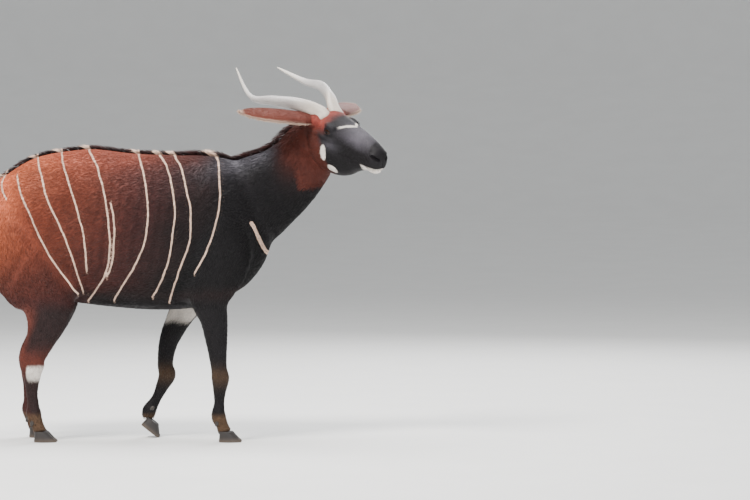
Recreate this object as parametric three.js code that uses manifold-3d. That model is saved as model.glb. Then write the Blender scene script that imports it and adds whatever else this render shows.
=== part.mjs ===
// A life-size bongo antelope bull, walking, with its head turned to its right.
// Millimetres. +X is the way it walks, +Y its left side, +Z up. The floor is at z = 0.
import * as THREE from "three";
import { mergeVertices } from "three/addons/utils/BufferGeometryUtils.js";
import Module from "manifold-3d";

const wasm = await Module();
wasm.setup();

// Driving dimensions
const GAP = 0.3; // air left between two touching pieces
const CORONET = 46; // height of the hoof's upper rim above its sole
const HEAD_TURN = 45; // degrees to the animal's right
const HEAD_DIP = 24; // degrees below the horizon
const HEAD_ROLL = 11; // degrees, right side lower
const POLL = new THREE.Vector3(785, -85, 1443); // between the two horn roots
const RIGHT = -1;
const LEFT = 1;

// Each row of a loft is x, y, z of the section's centre, its half width across, and its reach
// above and below that centre (in front and behind, on a limb that runs down).
const TORSO = [
  [-792, 0, 950, 42, 75, 30],
  [-765, 0, 950, 108, 125, 95],
  [-700, 0, 950, 162, 182, 190],
  [-600, 0, 945, 203, 245, 245],
  [-450, 0, 945, 230, 316, 305],
  [-272, 0, 930, 250, 352, 335],
  [-60, 0, 930, 275, 331, 358],
  [120, 0, 930, 268, 324, 360],
  [250, 0, 930, 240, 322, 340],
  [370, 0, 930, 205, 302, 287],
  [440, 0, 930, 170, 270, 235],
  [500, 0, 930, 125, 205, 152],
  [535, 0, 930, 78, 140, 55],
  [547, 0, 930, 40, 90, 15],
];
const NECK = [
  [300, 0, 930, 120, 225, 190],
  [400, 0, 1020, 145, 220, 205],
  [492, 0, 1090, 132, 178, 195],
  [575, 0, 1150, 112, 150, 176],
  [645, 0, 1222, 98, 128, 160],
  [698, 2, 1300, 92, 112, 148],
  [735, -4, 1365, 82, 90, 130],
];
const TAIL = [
  [-745, 0, 1052, 34, 30, 30],
  [-795, 0, 1040, 30, 24, 28],
  [-826, 0, 980, 24, 20, 24],
  [-838, 0, 880, 19, 17, 19],
  [-838, 0, 770, 16, 15, 16],
  [-832, 0, 670, 13, 12, 13],
  [-826, 0, 600, 9, 9, 9],
];

// The limbs, from the top down to the coronet.
const FORE_TOP = [
  [232, 122, 1150, 50, 82, 82],
  [272, 150, 1020, 68, 122, 118],
  [306, 164, 900, 78, 138, 132],
];
const FORE_STANDING = [
  ...FORE_TOP,
  [318, 164, 790, 77, 132, 134],
  [288, 155, 690, 70, 106, 118],
  [272, 147, 610, 57, 80, 88],
  [286, 138, 540, 46, 64, 66],
  [298, 128, 430, 35, 47, 48],
  [307, 122, 330, 31, 36, 38],
  [311, 120, 278, 34, 42, 38],
  [310, 118, 222, 26, 29, 30],
  [308, 117, 168, 20, 23, 25],
  [306, 116, 115, 28, 31, 35],
  [320, 115, 74, 26, 27, 29],
  [332, 115, 40, 30, 31, 32],
];
const FORE_TRAILING = [
  ...FORE_TOP,
  [282, 164, 790, 77, 130, 132],
  [222, 155, 690, 70, 108, 112],
  [168, 147, 612, 57, 80, 84],
  [124, 138, 540, 46, 62, 62],
  [74, 128, 430, 35, 44, 46],
  [58, 122, 330, 31, 34, 38],
  [62, 120, 276, 34, 42, 38],
  [42, 118, 222, 26, 29, 30],
  [16, 117, 168, 20, 23, 25],
  [-12, 116, 120, 28, 31, 34],
  [-20, 115, 86, 26, 27, 28],
];
const HIND = [
  [-598, 92, 1070, 62, 120, 130],
  [-592, 122, 965, 88, 170, 165],
  [-565, 138, 850, 96, 185, 175],
  [-508, 142, 730, 88, 172, 162],
  [-446, 139, 625, 70, 138, 132],
  [-442, 134, 540, 54, 100, 98],
  [-468, 130, 450, 40, 66, 68],
  [-498, 126, 375, 33, 52, 64],
  [-506, 124, 335, 33, 52, 60],
  [-509, 122, 290, 28, 41, 42],
  [-508, 120, 220, 21, 26, 29],
  [-504, 118, 165, 22, 26, 29],
  [-502, 117, 125, 29, 33, 36],
  [-488, 116, 78, 26, 28, 29],
  [-474, 116, 40, 30, 31, 32],
];
const HIND_LAG = 46; // the left hind foot stands this far behind the right one

// Where each limb is parted: heights of the elbow, knee, stifle and hock cuts.
const FORE_CUTS = [602, 262];
const HIND_CUTS = [585, 322];

// The head, in its own frame: forward to the nose, left, and up, from the point between the horns.
const HEAD = [
  [-118, 0, -112, 52, 58, 70],
  [-98, 0, -112, 78, 86, 102],
  [-50, 0, -112, 92, 106, 130],
  [10, 0, -118, 96, 122, 138],
  [60, 0, -112, 94, 128, 146],
  [110, 0, -100, 86, 116, 150],
  [160, 0, -88, 72, 102, 142],
  [215, 0, -78, 58, 86, 120],
  [270, 0, -76, 50, 76, 92],
  [318, 0, -80, 48, 68, 66],
  [350, 0, -84, 47, 60, 50],
  [370, 0, -86, 38, 46, 38],
  [380, 0, -86, 22, 26, 22],
];
const HEAD_POWER = 2.25; // a little squarer than an ellipse
const EYE = { at: [98, 69, -42], radius: 20 };
const NOSTRIL = { at: [362, 27, -62], size: [17, 9, 11] };
const MOUTH = { corner: 262, tip: 392, height: -116, droop: 10, slot: 2.4, depth: 8 };
const HORN = [
  [38, 37, -30],
  [-12, 39, -4],
  [-99, 86, 13],
  [-215, 136, 0],
  [-346, 152, -35],
  [-501, 122, -12],
];
const HORN_LIFT = { [RIGHT]: [0, 0, -7, -18, -20, 24], [LEFT]: [0, 0, 0, 0, 0, -16] };
const HORN_ROOT = 30; // half the long diameter at the root
const EAR = { length: 322, width: 54, cup: 28, wall: 5, root: [-32, 82, -40] };
const EAR_AIM = { [RIGHT]: [-0.43, 0.896, 0.095], [LEFT]: [-0.52, 0.82, -0.25] };
const EAR_OPENING = [-0.08, 0, -1];

// Hair
const LOCK_STEP = 38; // along the spine
const BACK_LOCK = { length: 66, width: 34, thick: 13, lift: 25 };
const NECK_LOCK = { length: 78, width: 38, thick: 15, lift: 30 };
const TUFT = { rings: 2, around: 6, top: 640, length: 175, width: 20, thick: 10 };

const lerp = THREE.MathUtils.lerp;
const radians = THREE.MathUtils.degToRad;

// Rows of numbers smoothed by a Catmull-Rom spline, with steps rows from one station to the next.
function smoothed(rows, steps) {
  const out = [];
  const row = (i) => rows[THREE.MathUtils.clamp(i, 0, rows.length - 1)];
  for (let i = 0; i < rows.length - 1; i += 1) {
    for (let k = 0; k < steps; k += 1) {
      const t = k / steps;
      out.push(
        rows[i].map((_, c) => {
          const [a, b, d, e] = [row(i - 1)[c], row(i)[c], row(i + 1)[c], row(i + 2)[c]];
          return (
            b +
            0.5 * t * (d - a + t * (2 * a - 5 * b + 4 * d - e + t * (3 * (b - d) + e - a)))
          );
        }),
      );
    }
  }
  out.push([...rows.at(-1)]);
  return out;
}

// One closed skin over a list of rings of the same number of points, each ring a Vector3 list.
function skinned(rings) {
  const sides = rings[0].length;
  const points = rings.flat().map((p) => p.toArray());
  const faces = [];
  for (let i = 0; i < rings.length - 1; i += 1) {
    for (let j = 0; j < sides; j += 1) {
      const a = i * sides + j;
      const b = i * sides + ((j + 1) % sides);
      faces.push(a, b, a + sides, b, b + sides, a + sides);
    }
  }
  const cap = (ring, first, outward) => {
    const centre = new THREE.Vector3();
    ring.forEach((p) => centre.addScaledVector(p, 1 / sides));
    const hub = points.push(centre.toArray()) - 1;
    for (let j = 0; j < sides; j += 1) {
      const [a, b] = [first + j, first + ((j + 1) % sides)];
      faces.push(hub, outward ? a : b, outward ? b : a);
    }
  };
  cap(rings[0], 0, false);
  cap(rings.at(-1), (rings.length - 1) * sides, true);
  const geometry = new THREE.BufferGeometry();
  geometry.setAttribute("position", new THREE.Float32BufferAttribute(points.flat(), 3));
  geometry.setIndex(faces);
  return geometry;
}

// A tube over stations of centre and reaches, with sections square to its path.
function loft(rows, { sides = 16, steps = 3, grow = 0, power = 2, side = [0, 1, 0] } = {}) {
  const path = smoothed(rows, steps);
  const centres = path.map((r) => new THREE.Vector3(r[0], r[1], r[2]));
  const last = path.length - 1;
  const rings = path.map((r, i) => {
    const tangent = centres[Math.min(i + 1, last)]
      .clone()
      .sub(centres[Math.max(i - 1, 0)])
      .normalize();
    const up = tangent.clone().cross(new THREE.Vector3(...side)).normalize();
    const across = up.clone().cross(tangent);
    const centre = centres[i].clone();
    if (i === 0) centre.addScaledVector(tangent, -grow);
    if (i === last) centre.addScaledVector(tangent, grow);
    return Array.from({ length: sides }, (_, j) => {
      const angle = (2 * Math.PI * j) / sides;
      const [c, s] = [Math.cos(angle), Math.sin(angle)];
      const bend = (v) => Math.sign(v) * Math.abs(v) ** (2 / power);
      return centre
        .clone()
        .addScaledVector(across, (r[3] + grow) * bend(c))
        .addScaledVector(up, ((s > 0 ? r[4] : r[5]) + grow) * bend(s));
    });
  });
  return skinned(rings);
}

// A closed three.js geometry as a manifold-3d solid, moved by a matrix where one is given.
function solid(geometry, matrix) {
  const bare = new THREE.BufferGeometry();
  bare.setAttribute("position", geometry.getAttribute("position").clone());
  if (geometry.index) bare.setIndex(geometry.index.clone());
  if (matrix) bare.applyMatrix4(matrix);
  const merged = mergeVertices(bare, 1e-3);
  return new wasm.Manifold(
    new wasm.Mesh({
      numProp: 3,
      vertProperties: merged.attributes.position.array,
      triVerts: new Uint32Array(merged.index.array),
    }),
  );
}

// Of the separate bodies that a cut leaves, the largest.
function largest(body) {
  return body.decompose().reduce((a, b) => (b.volume() > a.volume() ? b : a));
}

function box(size, at, turn = 0) {
  const matrix = new THREE.Matrix4()
    .makeRotationY(turn)
    .setPosition(new THREE.Vector3(...at));
  return solid(new THREE.BoxGeometry(...size), matrix);
}

// The same rows on the other side of the body, or moved along it.
const onSide = (rows, s) => rows.map((r) => [r[0], s * r[1], ...r.slice(2)]);
const moved = (rows, dx) =>
  rows.map((r) => [r[0] - dx * THREE.MathUtils.smoothstep(1000 - r[2], 0, 900), ...r.slice(1)]);

// A flat, tapered lock of hair: it leaves its root along lie, and bends towards droop.
function lock(root, lie, wide, { length, width, thick }, sink, droop = 0) {
  const across = new THREE.Vector3(...wide).normalize();
  const way = new THREE.Vector3(...lie).normalize();
  const face = way.clone().cross(across).normalize();
  const shares = [0, 0.4, 0.75, 1];
  const widths = [0.8, 1, 0.7, 0.12];
  const rings = shares.map((t, i) => {
    const centre = new THREE.Vector3(...root)
      .addScaledVector(way, t * (length + sink) - sink)
      .addScaledVector(face, -droop * t * t);
    const half = Math.max(1.2, (thick / 2) * widths[i]);
    return [
      [1, 0],
      [0, 1],
      [-1, 0],
      [0, -1],
    ].map(([u, v]) =>
      centre
        .clone()
        .addScaledVector(across, u * (width / 2) * widths[i])
        .addScaledVector(face, v * half),
    );
  });
  const made = solid(skinned(rings));
  return made.volume() < 0 ? solid(skinned(rings.map((r) => [...r].reverse()))) : made;
}

// Seeded draws, so that each build gives the same hair.
let seed = 20251;
function random() {
  seed = (seed * 1103515245 + 12345) % 2147483648;
  return seed / 2147483648;
}

// The head's frame
const headMatrix = (() => {
  const [turn, dip, roll] = [HEAD_TURN, HEAD_DIP, HEAD_ROLL].map(radians);
  const forward = new THREE.Vector3(
    Math.cos(turn) * Math.cos(dip),
    -Math.sin(turn) * Math.cos(dip),
    -Math.sin(dip),
  );
  const level = new THREE.Vector3(Math.sin(turn), Math.cos(turn), 0);
  const upright = forward.clone().cross(level);
  const left = level.multiplyScalar(Math.cos(roll)).addScaledVector(upright, Math.sin(roll));
  return new THREE.Matrix4()
    .makeBasis(forward, left, forward.clone().cross(left))
    .setPosition(POLL);
})();

// Horn: an open lyre with a twisting, keeled section that fades to the tip.
function horn(side, grow = 0) {
  const path = HORN.map(([f, r, u], i) => [f, side * r, u + HORN_LIFT[side][i]]);
  const rows = smoothed(path, 4);
  const centres = rows.map((r) => new THREE.Vector3(...r));
  const last = rows.length - 1;
  const rings = centres.map((c, i) => {
    const share = i / last;
    const tangent = centres[Math.min(i + 1, last)]
      .clone()
      .sub(centres[Math.max(i - 1, 0)])
      .normalize();
    const twist = side * radians(lerp(10, 150, share));
    const a = new THREE.Vector3(0, 0, 1).cross(tangent).normalize();
    const b = tangent.clone().cross(a);
    const long = HORN_ROOT * (1 - share ** 2.2) + 3 + grow;
    const short = HORN_ROOT * lerp(0.86, 0.6, share) * (1 - share ** 2.2) + 3 + grow;
    const centre = c.clone();
    if (i === 0) centre.addScaledVector(tangent, -grow);
    return Array.from({ length: 10 }, (_, j) => {
      const angle = (2 * Math.PI * j) / 10;
      const keel = 1 + 0.09 * Math.cos(3 * angle);
      const [u, v] = [long * keel * Math.cos(angle), short * keel * Math.sin(angle)];
      return centre
        .clone()
        .addScaledVector(a, u * Math.cos(twist) - v * Math.sin(twist))
        .addScaledVector(b, u * Math.sin(twist) + v * Math.cos(twist));
    });
  });
  return solid(skinned(rings), headMatrix);
}

// Ear: a long leaf rolled into a cup, laid back with its opening down.
function ear(side, grow = 0) {
  const aim = new THREE.Vector3(EAR_AIM[side][0], side * EAR_AIM[side][1], EAR_AIM[side][2]);
  aim.normalize();
  const root = new THREE.Vector3(EAR.root[0], side * EAR.root[1], EAR.root[2]);
  const front = new THREE.Vector3(...EAR_OPENING);
  front.addScaledVector(aim, -front.dot(aim)).normalize();
  const across = aim.clone().cross(front).multiplyScalar(side);
  const count = 10;
  const arc = 7;
  const rings = Array.from({ length: count }, (_, i) => {
    const t = i / (count - 1);
    const leaf = Math.sin(Math.PI * Math.min(1, 0.2 + 0.8 * t ** 1.3)) ** 0.4;
    const half = EAR.width * lerp(leaf, 0.06, t ** 14);
    const open = lerp(0.15, 1, THREE.MathUtils.smoothstep(t, 0, 0.3));
    const depth = EAR.cup * Math.sin(Math.PI * lerp(0.35, 0.93, t)) * lerp(1, 0.8, open);
    const wall = (t < 0.12 ? lerp(16, EAR.wall, t / 0.12) : EAR.wall) + 2 * grow;
    const centre = root.clone().addScaledVector(aim, EAR.length * t - 24 * (1 - t));
    const edge = (v, inner) => {
      const angle = v * radians(78);
      const reach = half + grow - (inner ? wall * 0.35 : 0);
      return centre
        .clone()
        .addScaledVector(across, reach * (Math.sin(angle) / Math.sin(radians(78))))
        .addScaledVector(front, -depth * Math.cos(angle) - grow + (inner ? wall : 0));
    };
    const span = Array.from({ length: arc }, (_, j) => lerp(-1, 1, j / (arc - 1)));
    return [...span.map((v) => edge(v, false)), ...span.reverse().map((v) => edge(v, true))];
  });
  const made = solid(skinned(rings), headMatrix);
  return made.volume() < 0
    ? solid(skinned(rings.map((r) => [...r].reverse())), headMatrix)
    : made;
}

function ball(at, size, grow = 0, cells = [10, 7]) {
  const matrix = new THREE.Matrix4()
    .makeScale(...size.map((s) => s + grow))
    .setPosition(new THREE.Vector3(...at));
  return solid(new THREE.SphereGeometry(1, ...cells), headMatrix.clone().multiply(matrix));
}

const eyePlace = (side) => [EYE.at[0], side * EYE.at[1], EYE.at[2]];
const eye = (side, grow = 0) =>
  ball(eyePlace(side), [1, 1, 1].map(() => EYE.radius), grow, [14, 10]);

// The lids: a low swelling with an almond opening in front of the eyeball.
function almond(side) {
  const shape = new THREE.Shape();
  shape.moveTo(-19, -3);
  shape.quadraticCurveTo(-2, 19, 19, 3);
  shape.quadraticCurveTo(4, -17, -19, -3);
  const prism = new THREE.ExtrudeGeometry(shape, {
    depth: 40,
    bevelEnabled: false,
    curveSegments: 5,
  });
  const place = new THREE.Matrix4()
    .makeTranslation(...eyePlace(side))
    .multiply(new THREE.Matrix4().makeRotationX(radians(side > 0 ? -90 : 90)))
    .multiply(new THREE.Matrix4().makeScale(1, side > 0 ? -1 : 1, 1))
    .multiply(new THREE.Matrix4().makeTranslation(0, 0, 6));
  const matrix = headMatrix.clone().multiply(place);
  if (matrix.determinant() < 0) {
    const flipped = prism.clone();
    const p = flipped.attributes.position.array;
    for (let i = 0; i < p.length; i += 9)
      for (let k = 0; k < 3; k += 1) [p[i + k], p[i + 3 + k]] = [p[i + 3 + k], p[i + k]];
    return solid(flipped, matrix);
  }
  return solid(prism, matrix);
}

const headLoft = (grow = 0) =>
  solid(loft(HEAD, { sides: 16, steps: 2, grow, power: HEAD_POWER }), headMatrix);

function mouthGroove() {
  const rows = [MOUTH.corner, (MOUTH.corner + MOUTH.tip) / 2, MOUTH.tip].map((f, i) => [
    f,
    0,
    MOUTH.height - (i === 0 ? MOUTH.droop * 0.2 : 0) - (i === 2 ? -MOUTH.droop * 0.4 : 0),
    90,
    MOUTH.slot / 2,
    MOUTH.slot / 2,
  ]);
  const slot = solid(loft(rows, { sides: 8, steps: 2, power: 6 }), headMatrix);
  return slot.subtract(headLoft(-MOUTH.depth));
}

// The head's flesh before any opening: its loft, brows, cheeks, horn bosses, nostril wings, chin.
function headFlesh(grow = 0) {
  let body = headLoft(grow);
  for (const side of [RIGHT, LEFT]) {
    const [f, r, u] = eyePlace(side);
    body = body
      .add(ball([f - 2, r + side * 3, u], [31, 19, 25], grow))
      .add(ball([f - 6, r - side * 4, u + 20], [36, 20, 16], grow))
      .add(ball([HORN[1][0] + 4, side * HORN[1][1], HORN[1][2] - 14], [42, 42, 30], grow))
      .add(ball([342, side * 27, -58], [30, 20, 22], grow));
  }
  return body.add(ball([338, 0, -128], [34, 30, 16], grow));
}

function makeHead() {
  let body = headFlesh();
  for (const side of [RIGHT, LEFT]) {
    const [f, r, u] = NOSTRIL.at;
    body = body
      .subtract(ball([f, side * r, u], NOSTRIL.size, 0))
      .subtract(eye(side, GAP))
      .subtract(almond(side))
      .subtract(horn(side, GAP));
  }
  return largest(body.subtract(mouthGroove()));
}

// The limbs
const limbRows = {
  fore_right: onSide(FORE_STANDING, RIGHT),
  fore_left: onSide(FORE_TRAILING, LEFT),
  hind_right: onSide(HIND, RIGHT),
  hind_left: moved(onSide(HIND, LEFT), HIND_LAG),
};
const limb = (name, grow = 0) => solid(loft(limbRows[name], { sides: 12, steps: 2, grow }));

// A foot's frame: the fore foot that trails stands on its toe, the others stand flat.
const FEET = {
  fore_right: { x: 336, y: -115, pitch: 0 },
  fore_left: { x: -26, y: 115, pitch: 38 },
  hind_right: { x: -470, y: -116, pitch: 0 },
  hind_left: { x: -470 - HIND_LAG, y: 116, pitch: 0 },
};
const CLAW = { half: 21, length: 46, spread: 23, toe: 26 };

function footMatrix({ x, y, pitch }) {
  const turn = radians(pitch);
  const toe = CLAW.length + CLAW.toe;
  const matrix = new THREE.Matrix4().makeRotationY(turn);
  const tip = new THREE.Vector3(toe, 0, 0).applyMatrix4(matrix);
  return matrix.setPosition(new THREE.Vector3(x, y, -tip.z - (pitch ? 6 : 0)));
}

// A claw, from its sole up to the coronet: longer below than above.
function claw(foot, side) {
  const rows = [
    [20, CLAW.length + 4, CLAW.half, 0],
    [18, CLAW.length + 2, CLAW.half + 1, 9],
    [9, CLAW.length - 9, CLAW.half, 28],
    [1, CLAW.length - 17, CLAW.half - 2, CORONET - GAP],
  ];
  const rings = rows.map(([x, long, half, z]) =>
    Array.from({ length: 12 }, (_, j) => {
      const angle = (2 * Math.PI * j) / 12;
      const [c, s] = [Math.cos(angle), Math.sin(angle)];
      const taper = 1 - 0.35 * Math.max(0, c) ** 2;
      const inner = side * s < 0 ? 0.82 : 1;
      return new THREE.Vector3(x + long * c, side * CLAW.spread + half * taper * inner * s, z);
    }),
  );
  const shape = solid(skinned(rings), footMatrix(foot));
  return largest(shape.subtract(box([900, 900, 300], [foot.x, foot.y, -150])));
}

// What a limb leaves to its claws: everything below the coronet plane of its foot.
function belowCoronet(foot) {
  const block = new THREE.Matrix4().makeTranslation(0, 0, CORONET - 200);
  return solid(new THREE.BoxGeometry(320, 260, 400), footMatrix(foot).multiply(block));
}

function dewclaws(foot) {
  return [-1, 1].map((s) => {
    const place = new THREE.Matrix4()
      .makeTranslation(-34, s * 15, 84)
      .multiply(new THREE.Matrix4().makeScale(10, 9, 17));
    return solid(new THREE.SphereGeometry(1, 8, 6), footMatrix(foot).multiply(place));
  });
}

// One limb parted by level cuts into its named lengths.
function partedLimb(name, cuts) {
  const foot = FEET[name];
  let whole = limb(name);
  for (const d of dewclaws(foot)) whole = whole.add(d);
  whole = whole.subtract(belowCoronet(foot));
  for (const z of cuts) {
    whole = whole.subtract(box([1600, 900, GAP], [0, foot.y, z]));
  }
  return whole
    .decompose()
    .filter((b) => b.volume() > 1e4)
    .sort((a, b) => b.boundingBox().max[2] - a.boundingBox().max[2]);
}

// Hair that stands along the spine, on the top line of a loft, from one share of it to another.
function spineLocks(rows, { from, to, size }) {
  const path = smoothed(rows, 8);
  const tops = path.map((r, i) => {
    const next = path[Math.min(i + 1, path.length - 1)];
    const back = path[Math.max(i - 1, 0)];
    const tangent = new THREE.Vector3(next[0] - back[0], 0, next[2] - back[2]).normalize();
    const up = new THREE.Vector3(-tangent.z, 0, tangent.x);
    const at = new THREE.Vector3(r[0], r[1], r[2]).addScaledVector(up, r[4]);
    return { at, up, tangent };
  });
  const locks = [];
  let travelled = 0;
  for (let i = 1; i < tops.length; i += 1) {
    travelled += tops[i].at.distanceTo(tops[i - 1].at);
    if (travelled < LOCK_STEP) continue;
    travelled = 0;
    const { at, up, tangent } = tops[i];
    if (at.x < from || at.x > to) continue;
    const lean = radians(size.lift + 8 * (random() - 0.5));
    const lie = tangent
      .clone()
      .multiplyScalar(-Math.cos(lean))
      .addScaledVector(up, Math.sin(lean));
    const side = locks.length % 2 ? 1 : -1;
    lie.y += side * 0.08;
    const wide = lie.clone().cross(new THREE.Vector3(0, 1, 0));
    const root = [at.x, at.y + side * 4, at.z];
    locks.push(lock(root, lie.toArray(), wide.toArray(), size, 24, side * 3));
  }
  return locks;
}

function tuftLocks() {
  const locks = [];
  for (let k = 0; k < TUFT.rings; k += 1) {
    for (let j = 0; j < TUFT.around; j += 1) {
      const angle = (2 * Math.PI * (j + 0.5 * k)) / TUFT.around;
      const out = [Math.cos(angle), Math.sin(angle), 0];
      const reach = 7 - 1.5 * k;
      const root = [-829 + reach * out[0], reach * out[1], TUFT.top - 26 * k];
      const splay = 0.16 - 0.05 * k;
      const lie = [splay * out[0], splay * out[1], -1];
      const wide = [-out[1], out[0], 0];
      locks.push(lock(root, lie, wide, { ...TUFT, length: TUFT.length * (0.8 + 0.3 * random()) }, 16, 4));
    }
  }
  return locks;
}

const joined = (body, pieces) => pieces.reduce((sum, piece) => sum.add(piece), body);

// All the pieces, in the order in which one gives way to another.
const pieces = new Map();
for (const [side, word] of [
  [RIGHT, "right"],
  [LEFT, "left"],
]) {
  pieces.set(`horn_${word}`, largest(horn(side).subtract(eye(side, GAP))));
  pieces.set(`eye_${word}`, eye(side));
  const cup = ear(side).subtract(headFlesh(GAP)).subtract(horn(side, GAP));
  pieces.set(`ear_${word}`, largest(cup));
}
pieces.set("head", makeHead());

const limbParts = {
  fore_right: ["shoulder_right", "forearm_right", "fore_shank_right"],
  fore_left: ["shoulder_left", "forearm_left", "fore_shank_left"],
  hind_right: ["thigh_right", "gaskin_right", "hind_shank_right"],
  hind_left: ["thigh_left", "gaskin_left", "hind_shank_left"],
};
for (const [name, parts] of Object.entries(limbParts)) {
  const bodies = partedLimb(name, name.startsWith("fore") ? FORE_CUTS : HIND_CUTS);
  parts.forEach((part, i) => pieces.set(part, bodies[i]));
  for (const side of [RIGHT, LEFT]) {
    pieces.set(`claw_${name}_${side > 0 ? "a" : "b"}`, claw(FEET[name], side));
  }
}

const grownLimbs = Object.keys(limbRows).map((name) => limb(name, GAP));
const neckLoft = (grow = 0) => solid(loft(NECK, { sides: 18, steps: 2, grow, power: 2.1 }));
const tailLoft = (grow = 0) => solid(loft(TAIL, { sides: 8, steps: 2, grow }));
const hairOnNeck = spineLocks(NECK, { from: 420, to: 640, size: NECK_LOCK });
const hairOnBack = spineLocks(TORSO, { from: -735, to: 330, size: BACK_LOCK });

let neck = joined(neckLoft(), hairOnNeck).subtract(headFlesh(GAP));
for (const side of [RIGHT, LEFT]) neck = neck.subtract(ear(side, GAP)).subtract(horn(side, GAP));
for (const grown of grownLimbs) neck = neck.subtract(grown);
pieces.set("neck", largest(neck));
pieces.set("tail", largest(joined(tailLoft(), tuftLocks())));

let torso = joined(solid(loft(TORSO, { sides: 22, steps: 2, power: 2.15 })), hairOnBack);
for (const cut of [neckLoft(GAP), tailLoft(GAP), ...grownLimbs]) torso = torso.subtract(cut);
pieces.set("torso", largest(torso));

// Finishes
const finish = (color, roughness) =>
  new THREE.MeshStandardMaterial({ color, roughness, metalness: 0, flatShading: true });
const coats = {
  chestnut: finish(0x7a3318, 0.7),
  dark: finish(0x1c1512, 0.65),
  horn: finish(0xcfc4b0, 0.45),
  eye: finish(0x0c0806, 0.12),
  hoof: finish(0x241f1c, 0.5),
};
const coatOf = (name) => {
  if (name.startsWith("horn")) return coats.horn;
  if (name.startsWith("eye")) return coats.eye;
  if (name.startsWith("claw")) return coats.hoof;
  return /neck|shoulder|fore|shank/.test(name) ? coats.dark : coats.chestnut;
};

function meshOf(name, body) {
  const { vertProperties, triVerts, numProp } = body.getMesh();
  const positions = new Float32Array((vertProperties.length / numProp) * 3);
  for (let i = 0; i < positions.length / 3; i += 1) {
    positions.set(vertProperties.subarray(i * numProp, i * numProp + 3), i * 3);
  }
  const geometry = new THREE.BufferGeometry();
  geometry.setAttribute("position", new THREE.BufferAttribute(positions, 3));
  geometry.setIndex(new THREE.BufferAttribute(new Uint32Array(triVerts), 1));
  const mesh = new THREE.Mesh(geometry, coatOf(name));
  mesh.name = name;
  return mesh;
}

const animal = new THREE.Group();
for (const [name, body] of pieces) animal.add(meshOf(name, body));

// The part's origin is on the floor, below the middle of the animal's own box.
const reach = new THREE.Box3().setFromObject(animal, true);
const middle = reach.getCenter(new THREE.Vector3());
animal.position.set(-middle.x, -middle.y, -reach.min.z);
const root = new THREE.Group();
root.add(animal);

export default root;
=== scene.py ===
"""A life-size bongo antelope bull, walking with its head turned to its right.

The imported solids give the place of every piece. The flesh becomes one skin, worked out from the
same stations as the solids, and a short coat, a crest and a tail tuft grow on it. Horns, ears,
eyeballs, lids, lashes, claws and dewclaws are pieces of their own. Stations are in millimetres in
the animal's own layout, and the scene is in metres.
"""

from __future__ import annotations

import logging
import math
from dataclasses import dataclass, field, fields
from enum import Enum

import bmesh
import bpy
import numpy as np
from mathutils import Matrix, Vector
from mathutils.bvhtree import BVHTree

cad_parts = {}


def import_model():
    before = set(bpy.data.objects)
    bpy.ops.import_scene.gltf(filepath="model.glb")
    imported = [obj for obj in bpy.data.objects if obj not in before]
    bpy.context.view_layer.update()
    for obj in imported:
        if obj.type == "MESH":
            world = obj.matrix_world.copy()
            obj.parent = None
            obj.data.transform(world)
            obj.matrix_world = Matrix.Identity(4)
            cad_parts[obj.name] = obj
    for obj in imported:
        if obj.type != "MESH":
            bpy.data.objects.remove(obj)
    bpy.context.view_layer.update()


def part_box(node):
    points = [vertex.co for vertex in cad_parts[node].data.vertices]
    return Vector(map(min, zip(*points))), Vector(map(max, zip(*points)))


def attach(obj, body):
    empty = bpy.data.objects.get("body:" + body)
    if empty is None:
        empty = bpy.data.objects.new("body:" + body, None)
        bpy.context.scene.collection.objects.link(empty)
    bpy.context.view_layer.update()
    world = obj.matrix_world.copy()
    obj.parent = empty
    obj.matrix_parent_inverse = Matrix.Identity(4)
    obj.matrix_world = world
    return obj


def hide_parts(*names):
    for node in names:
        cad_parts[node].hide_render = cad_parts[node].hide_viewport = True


LOG = logging.getLogger("bongo")
MM = 0.001
RNG_SEED = 20251

# How far from its pole a ball's first ring lies, in radians.
POLE_GAP = 0.02

# What the noise's hash is made with.
HASH_PRIMES = np.array([374761393, 668265263, 2147483647])
HASH_FACTOR = 1274126177
SEED_STEP = 17.3

Array = np.ndarray


class Sign(Enum):
    """One of two sides, whose value is the sign of y."""

    @property
    def word(self) -> str:
        """The side's name in the names of nodes."""
        return self.name.lower()


class Side(Sign):
    """The two sides of the animal."""

    RIGHT = -1
    LEFT = 1


class Toe(Sign):
    """The two claws of a foot."""

    B = -1
    A = 1


def unit(vectors: Array) -> Array:
    """Each row divided by its own length."""
    length = np.linalg.norm(vectors, axis=-1, keepdims=True)
    return vectors / np.maximum(length, 1e-9)


def ease(low: float, high: float, value: Array) -> Array:
    """Smoothstep: 0 below low, 1 above high (or the reverse), 3t^2 - 2t^3 between."""
    t = np.clip((np.asarray(value, float) - low) / (high - low), 0.0, 1.0)
    return t * t * (3.0 - 2.0 * t)


def blend(first: Array, second: Array, share: Array) -> Array:
    """A mix of two colours or lists of colours, where share has one number per row."""
    share = np.asarray(share)[..., None]
    return first * (1.0 - share) + second * share


def hump(*distances: Array | float) -> Array:
    """exp(-(a^2 + b^2 + ...)): 1 at the middle, falling off with distances counted in widths."""
    return np.exp(-sum(distance**2 for distance in distances))


def rotated(a: Array, b: Array, turn: Array | float) -> tuple[Array, Array]:
    """Two coordinates turned from the first axis towards the second, by an angle in radians."""
    c, s = np.cos(turn), np.sin(turn)
    return a * c - b * s, a * s + b * c


def circle(count: int) -> Array:
    """The angles of equal steps round a circle, in radians."""
    return np.linspace(0, 2 * math.pi, count, endpoint=False)


def tangents(path: Array) -> Array:
    """Unit directions along a path: at each point from the one behind to the one ahead."""
    ahead = np.vstack([path[1:], path[-1:]])
    behind = np.vstack([path[:1], path[:-1]])
    return unit(ahead - behind)


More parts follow.
